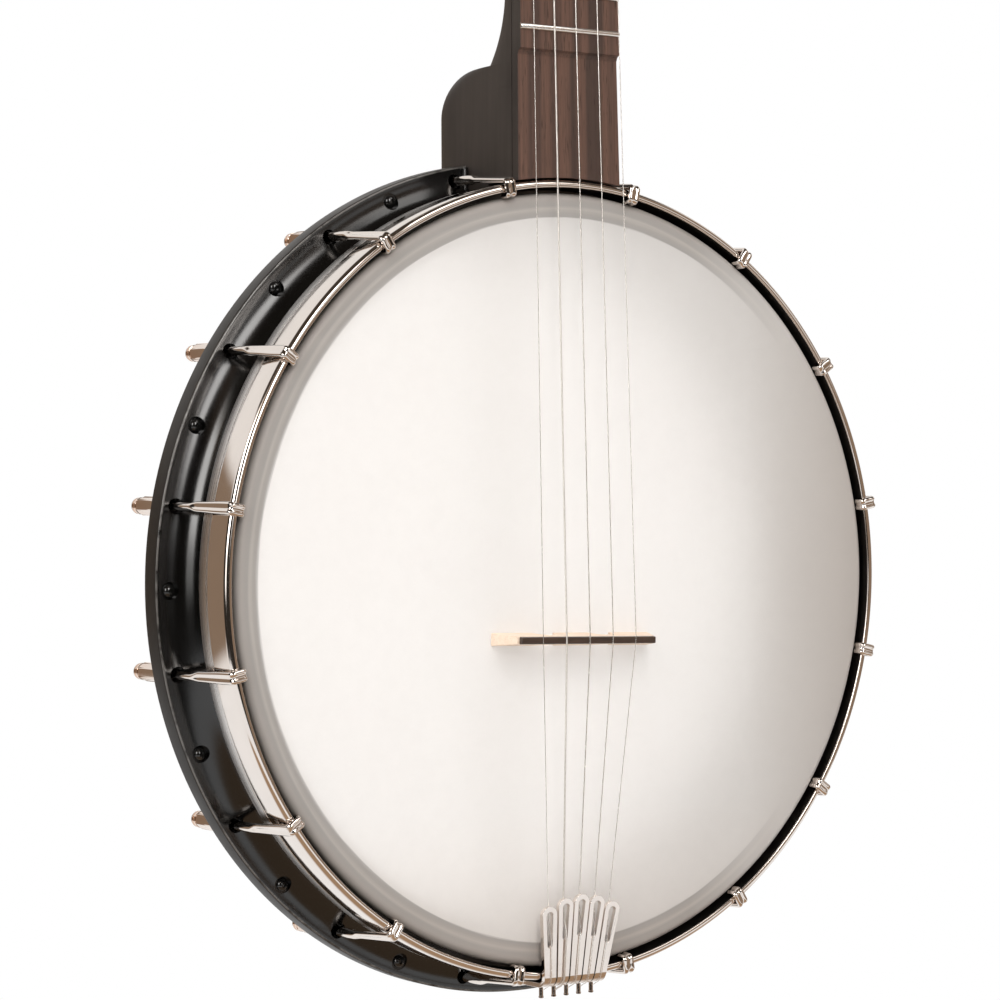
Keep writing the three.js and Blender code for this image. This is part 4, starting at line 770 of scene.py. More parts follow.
# Dark nickel: painted shade for the deep inner wall of the tension hoop.
PAINTED_SHADE_NICKEL = nickel_look("painted_shade_nickel", (0.09, 0.082, 0.075), (0.35, 0.5))
SATIN = satin_hoop_look("satin_aluminium")
STEEL = steel_look("turned_steel")
FILM = film_look("frosted_film")
FILM_BACK = film_back_look("film_back")
BLACK_WOOD = black_wood_look("black_stained_wood")
BOARD_WOOD = board_wood_look("board_wood")
MAPLE = pale_wood_look("maple")
EBONY = dark_wood_look("ebony")
BONE = bone_look("bone")
PEARL = pearl_look("pearl_plastic")
PLAIN_STRING = string_look("plain_string")
WOUND_STRING = string_look("wound_string", wound=True)
FRET_NICKEL = nickel_look("fret_nickel", (0.97, 0.95, 0.92), (0.2, 0.28))
BLACK_SCREW = moulding_look("black_screw", (0.006, 0.0058, 0.0055), (0.05, 0.11), 0.7)


# Rim and flange
def gap_angle(spacing):
    return 2 * math.degrees(math.asin(spacing / 2 / HOOK_CIRCLE))


def hook_angles():
    heel, tail = gap_angle(HEEL_HOOK_SPACING), gap_angle(TAIL_HOOK_SPACING)
    spread = (360 - heel - tail) / (HOOK_COUNT - 2)
    right = [heel / 2 + i * spread for i in range(HOOK_COUNT // 2)]
    return right + [360 - angle for angle in reversed(right)]


def screw_angles():
    angles = hook_angles()
    middles = [(a + b) / 2 for a, b in zip(angles, angles[1:])]
    return [angle for i, angle in enumerate(middles) if i != HOOK_COUNT // 2 - 1]


def on_pot(radius, depth, degrees):
    angle = math.radians(degrees)
    return Vector((radius * math.sin(angle), depth, radius * math.cos(angle)))


def rim_profile():
    reach = FLANGE_RADIUS - FLANGE_LAND - RIM_OUTER
    rise = FLANGE_FRONT - COVE_TOP
    cove = []
    for i in range(17):
        angle = math.pi / 2 * i / 16
        cove.append((RIM_OUTER + reach * (1 - math.cos(angle)), COVE_TOP + rise * math.sin(angle)))
    bearing = arc((RIM_OUTER - BEARING_ROUND, RIM_FRONT + BEARING_ROUND), BEARING_ROUND, -90, 0, 6)
    lip = rounded([
        (FLANGE_RADIUS - 3, FLANGE_FRONT, 0), (FLANGE_RADIUS, FLANGE_FRONT, FLANGE_ROUND),
        (FLANGE_RADIUS, FLANGE_BACK, FLANGE_ROUND), (RIM_OUTER, FLANGE_BACK, 0.6),
        (RIM_OUTER, RIM_BACK, BACK_ROUND), (RIM_INNER, RIM_BACK, BACK_ROUND), (RIM_INNER, RIM_BACK - 3, 0),
    ], closed=False)
    return [(RIM_INNER, 14), (RIM_SEAT, RIM_FRONT + 0.6), *bearing, *cove, *lip[1:]]


def heel_slot():
    """Cut-out for the heel, whose floor follows the outside of the rim."""
    half_turn = math.asin(SLOT_HALF / RIM_OUTER)
    angles = [half_turn * (1 - i / 8) for i in range(17)]
    wall = [(RIM_OUTER * math.sin(a), RIM_OUTER * math.cos(a)) for a in angles]
    return front_plate([(-SLOT_HALF, 190), (SLOT_HALF, 190), *wall], 6, 66)


def cheek(side):
    """Cheek of the flange beside the heel's cut-out."""
    inner, outer = side * SLOT_HALF, side * (SLOT_HALF + CHEEK_THICKNESS)
    top = FLANGE_RADIUS - 0.8
    outline = [
        (inner, RIM_OUTER - 4), (outer, RIM_OUTER - 4),
        (outer, math.sqrt(top ** 2 - outer ** 2)), (inner, math.sqrt(top ** 2 - inner ** 2)),
    ]
    return soften(solid(front_plate(outline, FLANGE_FRONT - 2, FLANGE_BACK)), 0.5, 3)


def as_part(piece):
    part = ([tuple(v.co) for v in piece.data.vertices], [list(p.vertices) for p in piece.data.polygons])
    bpy.data.objects.remove(piece)
    return part


def rod_bar(start, end, radius, sides=32, chamfer=0.0):
    """Bar on the axis of the coordinator rod."""
    return bar((0, ROD_DEPTH, start), (0, ROD_DEPTH, end), radius, sides, chamfer)


def add_rim():
    rim = carve(solid(lathe(rim_profile())), heel_slot())
    carve(rim, as_part(cheek(-1)), as_part(cheek(1)), operation="UNION")
    holes = [bar(on_pot(HOOK_CIRCLE, 4, a), on_pot(HOOK_CIRCLE, 66, a), 3.1, 32) for a in hook_angles()]
    recesses = [
        bar(on_pot(HOOK_CIRCLE, COVE_TOP, a), on_pot(HOOK_CIRCLE, FLANGE_FRONT + 0.1, a), 3.4, 32)
        for a in screw_angles()
    ]
    half = STRAP_HALF + GAP
    strap = block((-half, 4, -TAIL_REAR - GAP), (half, 66, -TAIL_REAR + TAIL_THICKNESS + GAP))
    bolts = [rod_bar(side * 120, side * 172, BOLT_HOLE) for side in (-1, 1)]
    carve(rim, *holes, *recesses, strap, *bolts)
    place(rim, "rim", [MOULDING, MOULDING_EDGE], "black_moulding", "pot_rim", sharp=32)
    for face in rim.data.polygons:
        x, _, z = POT.inverted() @ face.center
        face.material_index = int(math.hypot(x, z) > FLANGE_RADIUS - 0.35)


def add_flange_screws():
    """Button-head screws in the recesses of the flange, midway between the hooks."""
    floor, radius, edge, height = FLANGE_FRONT + 0.1, 2.5, 0.2, 1.55
    curve = [math.pi / 2 * i / 8 for i in range(1, 9)]
    dome = [(radius * math.sin(a), floor - edge - height * math.cos(a)) for a in curve]
    head = solid(lathe([(0, floor - edge - height), *dome, (radius, floor), (0, floor)], 32))
    carve(head, hex_stack([(floor - 3, 9), (floor - 0.9, 9)], 1.9, 24))
    for number, angle in enumerate(screw_angles(), 1):
        screw = bpy.data.objects.new("part", head.data.copy())
        bpy.context.collection.objects.link(screw)
        at = POT @ turn_y(angle) @ shift(0, 0, HOOK_CIRCLE)
        place(screw, f"flange_screw_{number:02d}", BLACK_SCREW, "black_moulding", at=at)
    bpy.data.objects.remove(head)


# Head and hoops
def add_head():
    centre = (FILM_REACH - ROLL_INNER, FILM_FRONT + ROLL_OUTER)
    flat = (0, 60, 120, 140)
    profile = [
        *[(radius, FILM_FRONT) for radius in flat], *arc(centre, ROLL_OUTER, -90, 0, 8),
        (centre[0] + ROLL_OUTER, SKIRT_END), (FILM_REACH, SKIRT_END),
        *arc(centre, ROLL_INNER, 0, -90, 8), *[(radius, FILM_REAR) for radius in reversed(flat)],
    ]
    head = place(solid(lathe(profile)), "head_film", [FILM, FILM_BACK], "frosted_film", "drum_head")
    for face in head.data.polygons:
        face.material_index = int(face.normal.y > 0.3)


def add_flesh_hoop():
    collar, inner, outer = 152.9, 152.5, 158.8
    profile = rounded([
        (inner, 5.8, 0), (FILM_REACH + 0.3, 5.8, 0), (FILM_REACH + 0.3, 10.6, 0), (collar, 10.9, 0),
        (collar, 13.6, 0.2), (outer, 13.6, 0.9), (outer, 14.9, 0),
        (outer - 0.25, 15.05, 0), (outer - 0.25, 15.3, 0), (outer, 15.45, 0),
        (outer, 21.3, 0.9), (inner, 21.3, 0.5),
    ], 5)
    place(solid(lathe(profile)), "crimped_hoop", SATIN, "satin_aluminium", "flesh_hoop", sharp=30)


def add_tension_hoop():
    foot = HOOP_INNER - 2.8
    profile = rounded([
        (HOOP_INNER, 0, 0.55), (HOOP_OUTER, 0, 2.1), (HOOP_OUTER, HOOP_HEIGHT, 0.35),
        (foot, HOOP_HEIGHT, 0.5), (foot, HOOP_HEIGHT - 2.4, 0.6), (HOOP_INNER, HOOP_HEIGHT - 2.4, 0.8),
    ], 6)
    hoop = place(solid(lathe(profile)), "stretcher_hoop", [HOOP_NICKEL, PAINTED_SHADE_NICKEL], "polished_nickel",
                 "tension_hoop", sharp=45)
    # Painted shade: faces of the hoop's inner wall deep in its groove get the dark nickel.
    for face in hoop.data.polygons:
        x, depth, z = POT.inverted() @ face.center
        face.material_index = int(math.hypot(x, z) < HOOP_INNER + 0.05 and depth > 2.6)


# Hooks with their long nuts
HOOK_ROD = 2
HOOK_STRAP = (2.5, 1.1)
HOOK_GROOVE = 0.45
HOOK_SECTION_POINTS = 36


def hook_section(flat, scale, bead):
    """Section of a hook: a round rod where flat is 0, and a grooved strap where it is 1."""
    points = []
    for i in range(HOOK_SECTION_POINTS):
        angle = 2 * math.pi * i / HOOK_SECTION_POINTS
        c, s = math.cos(angle), math.sin(angle)
        x = HOOK_STRAP[0] * math.copysign(abs(c) ** 0.66, c)
        h = HOOK_STRAP[1] * math.copysign(abs(s) ** 0.7, s)
        if h > 0:
            h += bead * math.exp(-((abs(x) - 1.35) / 0.55) ** 2) - HOOK_GROOVE * max(0, 1 - (x / 1.3) ** 2)
        points.append((lerp(HOOK_ROD * c, x, flat) * scale, lerp(HOOK_ROD * s, h, flat) * scale))
    return points


CLAW_INNER = 154.8
CLAW_OUTER = 160.8
CLAW_FRONT = -1.4
CLAW_TIP = 2.5
CLAW_BEND = 1.3
HOOK_BEADS = [(155.3, CLAW_FRONT - 0.5), (159.8, CLAW_FRONT - 0.5), (CLAW_INNER, 1.6)]


def hook_path():
    return rounded([
        (CLAW_INNER, CLAW_TIP, 0), (CLAW_INNER, CLAW_FRONT, CLAW_BEND), (CLAW_OUTER, CLAW_FRONT, CLAW_BEND),
        (HOOK_CIRCLE - 0.4, 19.2, 20), (HOOK_CIRCLE, 28, 20), (HOOK_CIRCLE, 54.4, 0),
    ], 8, closed=False)


def hook_body():
    """Hook with its claw over the hoop, a grooved strap in front and a round rod behind."""
    path = [Vector(p) for p in hook_path()]
    dense = []
    for a, b in zip(path, path[1:]):
        steps = max(1, round((b - a).length / 1.2))
        dense += [a.lerp(b, i / steps) for i in range(steps)]
    dense.append(path[-1])
    start = dense[0]
    dense = [start + Vector((0, d)) for d in (0.1, 0.04, -0.08, -0.25)] + dense[1:]
    scales = {0: 0.55, 1: 0.78, 2: 0.93}
    rings = []
    for i, point in enumerate(dense):
        along = (dense[min(i + 1, len(dense) - 1)] - dense[max(i - 1, 0)]).normalized()
        if i < 4:
            along = Vector((0, -1))
        outward = Vector((along.y, -along.x))
        on_rod = smooth(20, 24, point.y) if point.x > 158 else 0
        width = lerp(1, 0.84, smooth(3, 20, point.y)) if point.x > 158 else 1
        beads = sum(math.exp(-((point - Vector(spot)).length / 0.8) ** 2) for spot in HOOK_BEADS)
        section = hook_section(1 - on_rod, scales.get(i, 1), 0.3 * beads)
        rings.append([(x * width, point.y + h * outward.y, point.x + h * outward.x) for x, h in section])
    return loft(rings)


def hook_nut():
    """Long hexagon nut on the flange's back, with a turned collar and a domed end."""
    start = FLANGE_BACK + GAP
    stations = [
        (start, 3.15), (start + 0.3, 3.5), (start + 0.5, 9), (start + 15.6, 9), (start + 16, 3.3),
        (start + 16.1, 2.7), (start + 16.6, 2.7), (start + 16.8, 3.3), (start + 18.1, 3.3),
        (start + 18.3, 2.7), (start + 18.7, 2.7), (start + 18.8, 3.2),
    ]
    crown = start + 21.9
    for i in range(13):
        angle = math.pi / 2 * i / 12
        stations.append((crown - 3 + 3 * math.sin(angle), max(3.25 * math.cos(angle), 0.05)))
    return hex_stack(stations, 6.5)


def add_hooks():
    hook, nut = hook_body(), hook_nut()
    for number, angle in enumerate(hook_angles(), 1):
        turned = 30 - angle + (8 if number % 2 else -8)
        facets = shift(0, 0, HOOK_CIRCLE) @ turn_y(turned)
        piece = solid(hook, moved(nut, facets))
        name = f"hook_{number:02d}"
        place(piece, name, HOOK_NICKEL, "polished_nickel", "bracket_" + name, at=POT @ turn_y(angle))


# Coordinator rod and its fastenings
def add_rod():
    reach = RIM_INNER - 5 - 2 * GAP
    rod = solid(rod_bar(-reach, reach, ROD_RADIUS, 48, 0.4))
    carve(rod, *[rod_bar(side * (reach - 16), side * (reach + 9), BOLT_HOLE) for side in (-1, 1)])
    carve(rod, bar((-9, ROD_DEPTH, 0), (9, ROD_DEPTH, 0), 1.6, 24))
    place(rod, "rod", STEEL, "steel", "coordinator_rod")
    outer = math.sqrt(RIM_INNER ** 2 - 6.5 ** 2) - GAP
    for side, name, node in ((1, "nut_heel", "heel_rim_nut"), (-1, "nut_tail", "tail_rim_nut")):
        stations = [(0, 6.2), (0.5, 9), (4.5, 9), (5, 6.2)]
        nut = moved(hex_stack(stations, 13), along_axis((0, ROD_DEPTH, side * outer), (0, 0, -side)))
        piece = carve(solid(nut), rod_bar(side * 120, side * 150, BOLT_HOLE))
        place(piece, name, STEEL, "steel", node)
    head = RIM_OUTER + GAP + TAIL_THICKNESS + GAP
    stations = [(0, 4.9), (0.3, 5.1), (0.5, 9), (3.4, 9), (3.8, 5.0), (4, 4.4)]
    bolt = moved(hex_stack(stations, 10), along_axis((0, ROD_DEPTH, -head), (0, 0, -1)))
    bolt = carve(solid(bolt), rod_bar(-118.4, -head - 0.6, 2.7), operation="UNION")
    place(bolt, "bolt_tail", NICKEL, "polished_nickel", "tail_bolt")


# Tailpiece
def front_at(z):
    slope = (TAIL_TIP_DEPTH - TAIL_BEND_DEPTH) / (TAIL_BEND - TAIL_TIP)
    return TAIL_BEND_DEPTH + slope * (z + TAIL_BEND)


def finger_tip(number):
    return -TAIL_TIP - 4 * [1, 0.28, 0, 0.28, 1][number]


def bend_point(radius, degrees):
    """Point (depth, z) of the fingers' bend, whose arc runs from the front face to the rear face."""
    tilt = math.atan2(TAIL_BEND_DEPTH - TAIL_TIP_DEPTH, TAIL_BEND - TAIL_TIP)
    centre_z = -TAIL_REAR + BEND_RADIUS
    centre_depth = front_at(centre_z - BEND_RADIUS * math.sin(tilt)) + BEND_RADIUS * math.cos(tilt)
    angle = tilt if degrees is None else math.radians(degrees)
    return centre_depth - radius * math.cos(angle), centre_z - radius * math.sin(angle)


def finger_side():
    tip, inner = -TAIL_TIP + 8, BEND_RADIUS - TAIL_THICKNESS
    turns = [None, *range(15, 91, 8), 90]
    return [
        (front_at(tip), tip), *[bend_point(BEND_RADIUS, turn) for turn in turns], (PIVOT_DEPTH, -TAIL_REAR),
        (PIVOT_DEPTH, -TAIL_REAR + TAIL_THICKNESS), *[bend_point(inner, turn) for turn in reversed(turns)],
        (front_at(tip) + TAIL_THICKNESS, tip),
    ]


def finger_plan(number):
    spot, tip = number - 2, finger_tip(number)
    rear_half, tip_half = (REAR_PITCH - FINGER_GAP) / 2, (TIP_PITCH - FINGER_GAP) / 2
    rear_x, tip_x = spot * REAR_PITCH, spot * TIP_PITCH
    crown = arc((tip_x, tip - tip_half), tip_half, 0, 180, 20)
    return [
        (rear_x + rear_half, -TAIL_REAR - 6), (rear_x + rear_half, -TAIL_BEND), *crown,
        (rear_x - rear_half, -TAIL_BEND), (rear_x - rear_half, -TAIL_REAR - 6),
    ]


def finger_slot(number):
    spot, top, half = number - 2, finger_tip(number) - SLOT_INSET, SLOT_WIDTH / 2
    lean = (TIP_PITCH - REAR_PITCH) / (TAIL_BEND - TAIL_TIP)
    low_x, low = spot * TIP_PITCH - spot * lean * SLOT_LENGTH, top - SLOT_LENGTH
    crown = arc((spot * TIP_PITCH, top - half), half, 0, 180, 12)
    foot = arc((low_x, low + half * 0.75), half * 0.75, 180, 360, 8)
    return [*foot, *crown]


def finger_pin():
    """Headed pin at the rear of a finger, which holds the string's loop."""
    start, neck, head = -TAIL_THICKNESS / 2, 0.85, 1.0
    return lathe([
        (0, start), (neck, start), (neck, PIN_LENGTH - 0.9), (head, PIN_LENGTH - 0.8),
        (head, PIN_LENGTH - 0.2), (0.8, PIN_LENGTH), (0, PIN_LENGTH),
    ], 24)


def add_finger(number, pivot_z, bore):
    finger = solid(side_plate(finger_side(), -24, 24))
    carve(finger, front_plate(finger_plan(number), -30, 30), operation="INTERSECT")
    carve(finger, front_plate(finger_slot(number), -30, 1.3))
    soften(finger, 0.26, 3, 50)
    x, half = (number - 2) * REAR_PITCH, (REAR_PITCH - FINGER_GAP) / 2
    knuckle = bar((x - half, PIVOT_DEPTH, pivot_z), (x + half, PIVOT_DEPTH, pivot_z), 1.9, 32, 0.2)
    pin = moved(finger_pin(), along_axis((x, PIN_DEPTH, -TAIL_REAR), (0, 0, -1)))
    carve(finger, knuckle, pin, operation="UNION")
    carve(finger, bore)
    name = f"finger_{number + 1}"
    place(finger, name, NICKEL, "polished_nickel", "tailpiece_" + name, sharp=40, weighted=True)


def add_tailpiece():
    pivot_z = -TAIL_REAR + 0.95
    reach = 2.5 * REAR_PITCH + 2.4
    bore = bar((-40, PIVOT_DEPTH, pivot_z), (40, PIVOT_DEPTH, pivot_z), 1.08, 24)
    for number in range(5):
        add_finger(number, pivot_z, bore)
    pivot = solid(bar((-reach, PIVOT_DEPTH, pivot_z), (reach, PIVOT_DEPTH, pivot_z), 1.0, 32, 0.15))
    place(pivot, "pivot_pin", STEEL, "steel", "tailpiece_pivot")
    add_strap(bore, reach, pivot_z)


def add_strap(bore, reach, pivot_z):
    outer, inner = -TAIL_REAR, -TAIL_REAR + TAIL_THICKNESS
    seat_inner = -RIM_OUTER - GAP
    seat_outer = seat_inner - TAIL_THICKNESS
    joggle, end = FLANGE_BACK + GAP, ROD_DEPTH + 8
    front = PIVOT_DEPTH + 1.9 + FINGER_GAP
    strip = rounded([
        (front, outer, 0), (joggle + TAIL_THICKNESS, outer, 1.6), (joggle + TAIL_THICKNESS, seat_outer, 0.5),
        (end, seat_outer, 0), (end, seat_inner, 0), (joggle, seat_inner, 1.6), (joggle, inner, 0.5),
        (front, inner, 0),
    ], 5)
    strap = solid(side_plate(strip, -STRAP_HALF, STRAP_HALF))
    crown = arc((0, end - STRAP_HALF), STRAP_HALF, 0, 180, 16)
    hem = STRAP_HALF + 0.5
    plan = [(-hem, 0), (hem, 0), *crown[:-1], (-hem, end - STRAP_HALF)]
    carve(strap, prism(plan, -190, -120, lambda x, depth, z: (x, depth, z)), operation="INTERSECT")
    yoke = block((-reach, front, outer), (reach, front + REAR_PITCH, inner))
    arms = []
    for side in (-1, 1):
        near, far = sorted((side * (reach - 2.4 + FINGER_GAP), side * reach))
        arms.append(bar((near, PIVOT_DEPTH, pivot_z), (far, PIVOT_DEPTH, pivot_z), 1.9, 32))
        arms.append(block((near, PIVOT_DEPTH, outer), (far, front + REAR_PITCH, inner)))
    carve(strap, yoke, *arms, operation="UNION")
    carve(strap, bore, rod_bar(-140, -175, BOLT_HOLE))
    soften(strap, 0.3, 2, 50)
    place(strap, "strap", NICKEL, "polished_nickel", "tailpiece_strap", weighted=True)


# Bridge
def string_x(number):
    return (number - 2) * STRING_SPACING


def bridge_piece(outline, radius):
    """Piece of the bridge: its outline in x and height, within the bridge's taper."""
    taper = side_plate([
        (BRIDGE_SOLE, BRIDGE_Z - 2.6), (BRIDGE_SOLE, BRIDGE_Z + 2.6),
        (BRIDGE_TOP, BRIDGE_Z + 1.3), (BRIDGE_TOP, BRIDGE_Z - 1.3),
    ], -40, 40)
    shape = prism(outline, -6, 6, lambda x, height, z: (x, BRIDGE_SOLE - height, BRIDGE_Z + z))
    return soften(carve(solid(shape), taper, operation="INTERSECT"), radius, 2, 45)


def bridge_outline():
    cap_height = BRIDGE_HEIGHT - BRIDGE_BASE_HEIGHT
    top = lerp(BRIDGE_CAP_LENGTH, BRIDGE_LENGTH, cap_height / BRIDGE_HEIGHT) / 2
    foot = BRIDGE_LENGTH / 2
    arches = []
    for middle in (-ARCH_PLACE, ARCH_PLACE):
        curve = reversed(arc((middle, 0), ARCH_HALF, 0, 180, 20))
        arches += [(x, height * ARCH_HEIGHT / ARCH_HALF) for x, height in curve]
    return [
        (-foot, 0), *arches, (foot, 0), (foot - 0.3, 1.6), (top, BRIDGE_BASE_HEIGHT),
        (-top, BRIDGE_BASE_HEIGHT), (0.3 - foot, 1.6),
    ]


def add_bridge():
    centre = shift(0, 0, BRIDGE_Z)
    at = POT @ centre @ turn_y(BRIDGE_SLANT) @ centre.inverted()
    base = bridge_piece(bridge_outline(), 0.35)
    place(base, "bridge_body", MAPLE, "maple", "bridge_base", at=at, weighted=True)
    half, low, high = BRIDGE_CAP_LENGTH / 2, BRIDGE_BASE_HEIGHT + 0.1, BRIDGE_HEIGHT - 0.1
    cap = bridge_piece([(-half, low), (half, low), (half, high), (-half, high)], 0.3)
    for number, diameter in enumerate(STRING_DIAMETERS):
        x, radius = string_x(number), diameter / 2 + STRING_CLEARANCE
        carve(cap, bar((x, BRIDGE_TOP, BRIDGE_Z - 6), (x, BRIDGE_TOP, BRIDGE_Z + 6), radius, 16))
    place(cap, "bridge_saddle", EBONY, "ebony", "bridge_cap", at=at, weighted=True)


# Neck
def shaft_depth(z):
    return BOARD_THICKNESS + lerp(14, 15, (NUT_Z - z) / (NUT_Z - LAST_FRET_Z))


def neck_ring(z, back, fullness, count=44):
    left, right = left_edge(z), right_edge(z)
    middle, half = (left + right) / 2, (right - left) / 2
    front, power = BOARD_THICKNESS + GAP, 2 / fullness
    ring = []
    for i in range(count + 1):
        angle = math.pi * i / count
        c, s = math.cos(angle), max(math.sin(angle), 0)
        x = middle - half * math.copysign(abs(c) ** power, c)
        ring.append((x, front + (back - front) * s ** power, z))
    return ring


def neck_shaft():
    top, flare = RIM_OUTER + HEEL_HEIGHT, 31
    rings = [neck_ring(top - HEEL_SHOULDER, FLARE_DEPTH, SHAFT_FULLNESS)]
    for i in range(13):
        share = i / 12
        z = lerp(top, top + flare, share)
        back = lerp(shaft_depth(top + flare), FLARE_DEPTH, (1 - share) ** 2)
        rings.append(neck_ring(z, back, SHAFT_FULLNESS))
    for z in (260, 300, 340, 380, 420, STEP_Z - 6):
        rings.append(neck_ring(z, shaft_depth(z), SHAFT_FULLNESS))
    for i in range(9):
        z = STEP_Z + STEP_LENGTH * i / 8
        rings.append(neck_ring(z, shaft_depth(z), SHAFT_FULLNESS))
    for z in (520, 560, 600, NUT_Z, NUT_Z + 10):
        rings.append(neck_ring(z, shaft_depth(min(z, NUT_Z)), SHAFT_FULLNESS))
    return loft(rings)


def heel_block():
    start, back = RIM_OUTER + HEEL_HEIGHT - HEEL_SHOULDER, 66.7
    rings = [neck_ring(RIM_INNER, back, HEEL_FULLNESS)]
    for i in range(15):
        share = math.sin(math.pi / 2 * i / 14)
        depth = lerp(FLARE_DEPTH + GAP, back, math.sqrt(max(1 - share ** 2, 0)))
        rings.append(neck_ring(start + HEEL_SHOULDER * share, depth, HEEL_FULLNESS))
    return loft(rings)


def bezier(points, steps=14):
    result = []
    for i in range(steps):
        level = [Vector(p) for p in points]
        while len(level) > 1:
            level = [a.lerp(b, i / steps) for a, b in zip(level, level[1:])]
        result.append(tuple(level[0]))
    return result


def peghead_outline():
    nut, lower, waist, top, ear = NUT_WIDTH / 2, 34, 30, 35, TUNER_LOW * 0.72
    waist_z, shoulder = (TUNER_LOW + TUNER_HIGH) / 2, PEGHEAD_LENGTH - 15
    left = [(-nut, -NUT_THICKNESS)]
    left += bezier([(-nut, NUT_THICKNESS), (-nut, ear / 2), (-lower, ear / 2), (-lower, ear)])
    left += bezier([(-lower, ear), (-waist, waist_z), (-top, shoulder)])
    left += bezier([(-top, shoulder), (-top, PEGHEAD_LENGTH - NUT_THICKNESS), (0, PEGHEAD_LENGTH)])
    return left + [(0, PEGHEAD_LENGTH)] + [(-x, z) for x, z in reversed(left)]


def tuner_places():
    left = [(-TUNER_X, TUNER_LOW), (-TUNER_X, TUNER_HIGH)]
    return left + [(-x, z) for x, z in reversed(left)]


def pot_space():
    """Space of the hoops and the rim, which the heel and the board leave free."""
    rim = RIM_OUTER + GAP
    return lathe([
        (0, -30), (HEEL_START, -30), (HEEL_START, HOOPS_BACK), (rim, HOOPS_BACK), (rim, 90), (0, 90),
    ])


def add_neck():
    to_neck = NECK_IN_POT.inverted()
    peghead = soften(solid(front_plate(peghead_outline(), 0, PEGHEAD_THICKNESS)), 0.9, 3, 50)
    head_part = moved(as_part(peghead), to_neck @ PEGHEAD_IN_POT)
    neck = solid(neck_shaft())
    carve(neck, heel_block(), head_part, operation="UNION")
    posts = [bar((x, -20, z), (x, 35, z), 5.3, 40) for x, z in tuner_places()]
    lag = rod_bar(139, RIM_OUTER + 38 + GAP, BOLT_HOLE)
    edge = left_edge(FIFTH_PEG_Z)
    start, end = ((edge + reach, FIFTH_PEG_DEPTH, FIFTH_PEG_Z) for reach in (-20, 12.3))
    side_hole = bar(start, end, 3.7, 40)
    half = 3 + GAP
    channel = block((NUT_CENTRE - half, -14, HEEL_START + 30 - GAP), (NUT_CENTRE + half, 15, NUT_Z + 14))
    pocket = block((NUT_CENTRE - 5, -20, NUT_Z + 5.3), (NUT_CENTRE + 5, 15, NUT_Z + 19))
    seat = block(
        (left_edge(NUT_Z) - 20, -20, NUT_Z - 20),
        (right_edge(NUT_Z) + 20, BOARD_THICKNESS + GAP, NUT_Z + 5.3),
    )
    carve(neck, moved(pot_space(), to_neck), moved(lag, to_neck), side_hole, channel, pocket, seat)
    carve(neck, *[moved(post, to_neck @ PEGHEAD_IN_POT) for post in posts])
    place(neck, "neck_wood", BLACK_WOOD, "black_stained_wood", "neck", at=NECK, sharp=30)


def fret(z):
    """One crowned fret with rounded ends."""
    left, right = left_edge(z), right_edge(z)
    angles = [math.pi * i / 12 for i in range(1, 12)]
    crown = [(FRET_HALF * math.cos(a), FRET_HEIGHT * math.sin(a) ** 0.8) for a in angles]
    section = [(FRET_HALF, -0.1), (FRET_HALF, 0.12), *crown, (-FRET_HALF, 0.12), (-FRET_HALF, -0.1)]
    ends = [(0, 0.45), (0.25, 0.85), (0.6, 1)]
    stations = [(left + inset, share) for inset, share in ends]
    stations += [(right - inset, share) for inset, share in reversed(ends)]
    return loft([
        [(x, -h * (share if h > 0 else 1), z + v) for v, h in section] for x, share in stations
    ])


def add_board():
    steps = [STEP_Z + STEP_LENGTH * i / 10 for i in range(11)]
    rising = [RIM_INNER, LAST_FRET_Z, *steps, NUT_Z - GAP]
    outline = [(left_edge(z), z) for z in rising] + [(right_edge(z), z) for z in reversed(rising)]
    start = LAST_FRET_Z - 8.5
    scoop = rounded([
        (0, start, 0.25), (1.3, start - 0.84, 0.8), (2, start - 2.4, 0.6), (2, 100, 0),
        (BOARD_THICKNESS, 100, 0), (BOARD_THICKNESS, NUT_Z, 0), (0, NUT_Z, 0),
    ], 3)
    board = solid(front_plate(outline, -10, 12))
    carve(board, side_plate(scoop, -60, 60), operation="INTERSECT")
    carve(board, moved(pot_space(), NECK_IN_POT.inverted()))
    soften(board, 0.3, 2, 50)
    carve(board, bar((PIP_X, -20, PIP_Z), (PIP_X, 3, PIP_Z), 1.58, 24))
    place(board, "board", [BOARD_WOOD, BLACK_WOOD], "board_wood", "fretboard", at=NECK, weighted=True)
    for face in board.data.polygons:
        face.material_index = int(abs(face.normal.x) > 0.8)
    frets = [fret(fret_z(number)) for number in range(1, FRET_COUNT + 1)]
    place(solid(*frets), "frets", FRET_NICKEL, "polished_nickel", at=NECK, sharp=50)


def nut_place(number):
    left = right_edge(NUT_Z) - NUT_WIDTH + NUT_INSET
    return left + (number - 1) * (NUT_WIDTH - 2 * NUT_INSET) / 3


def string_top(radius):
    return -FRET_HEIGHT - radius - STRING_CLEARANCE


def string_slot(x, z, number, length_before, length_after):
    """Slot for a string in the nut or the pip, open at its front."""
    radius = STRING_DIAMETERS[number] / 2
    half, floor = radius + STRING_CLEARANCE, string_top(radius) + radius + 0.1
    return block((x - half, -9, z - length_before), (x + half, floor, z + length_after))


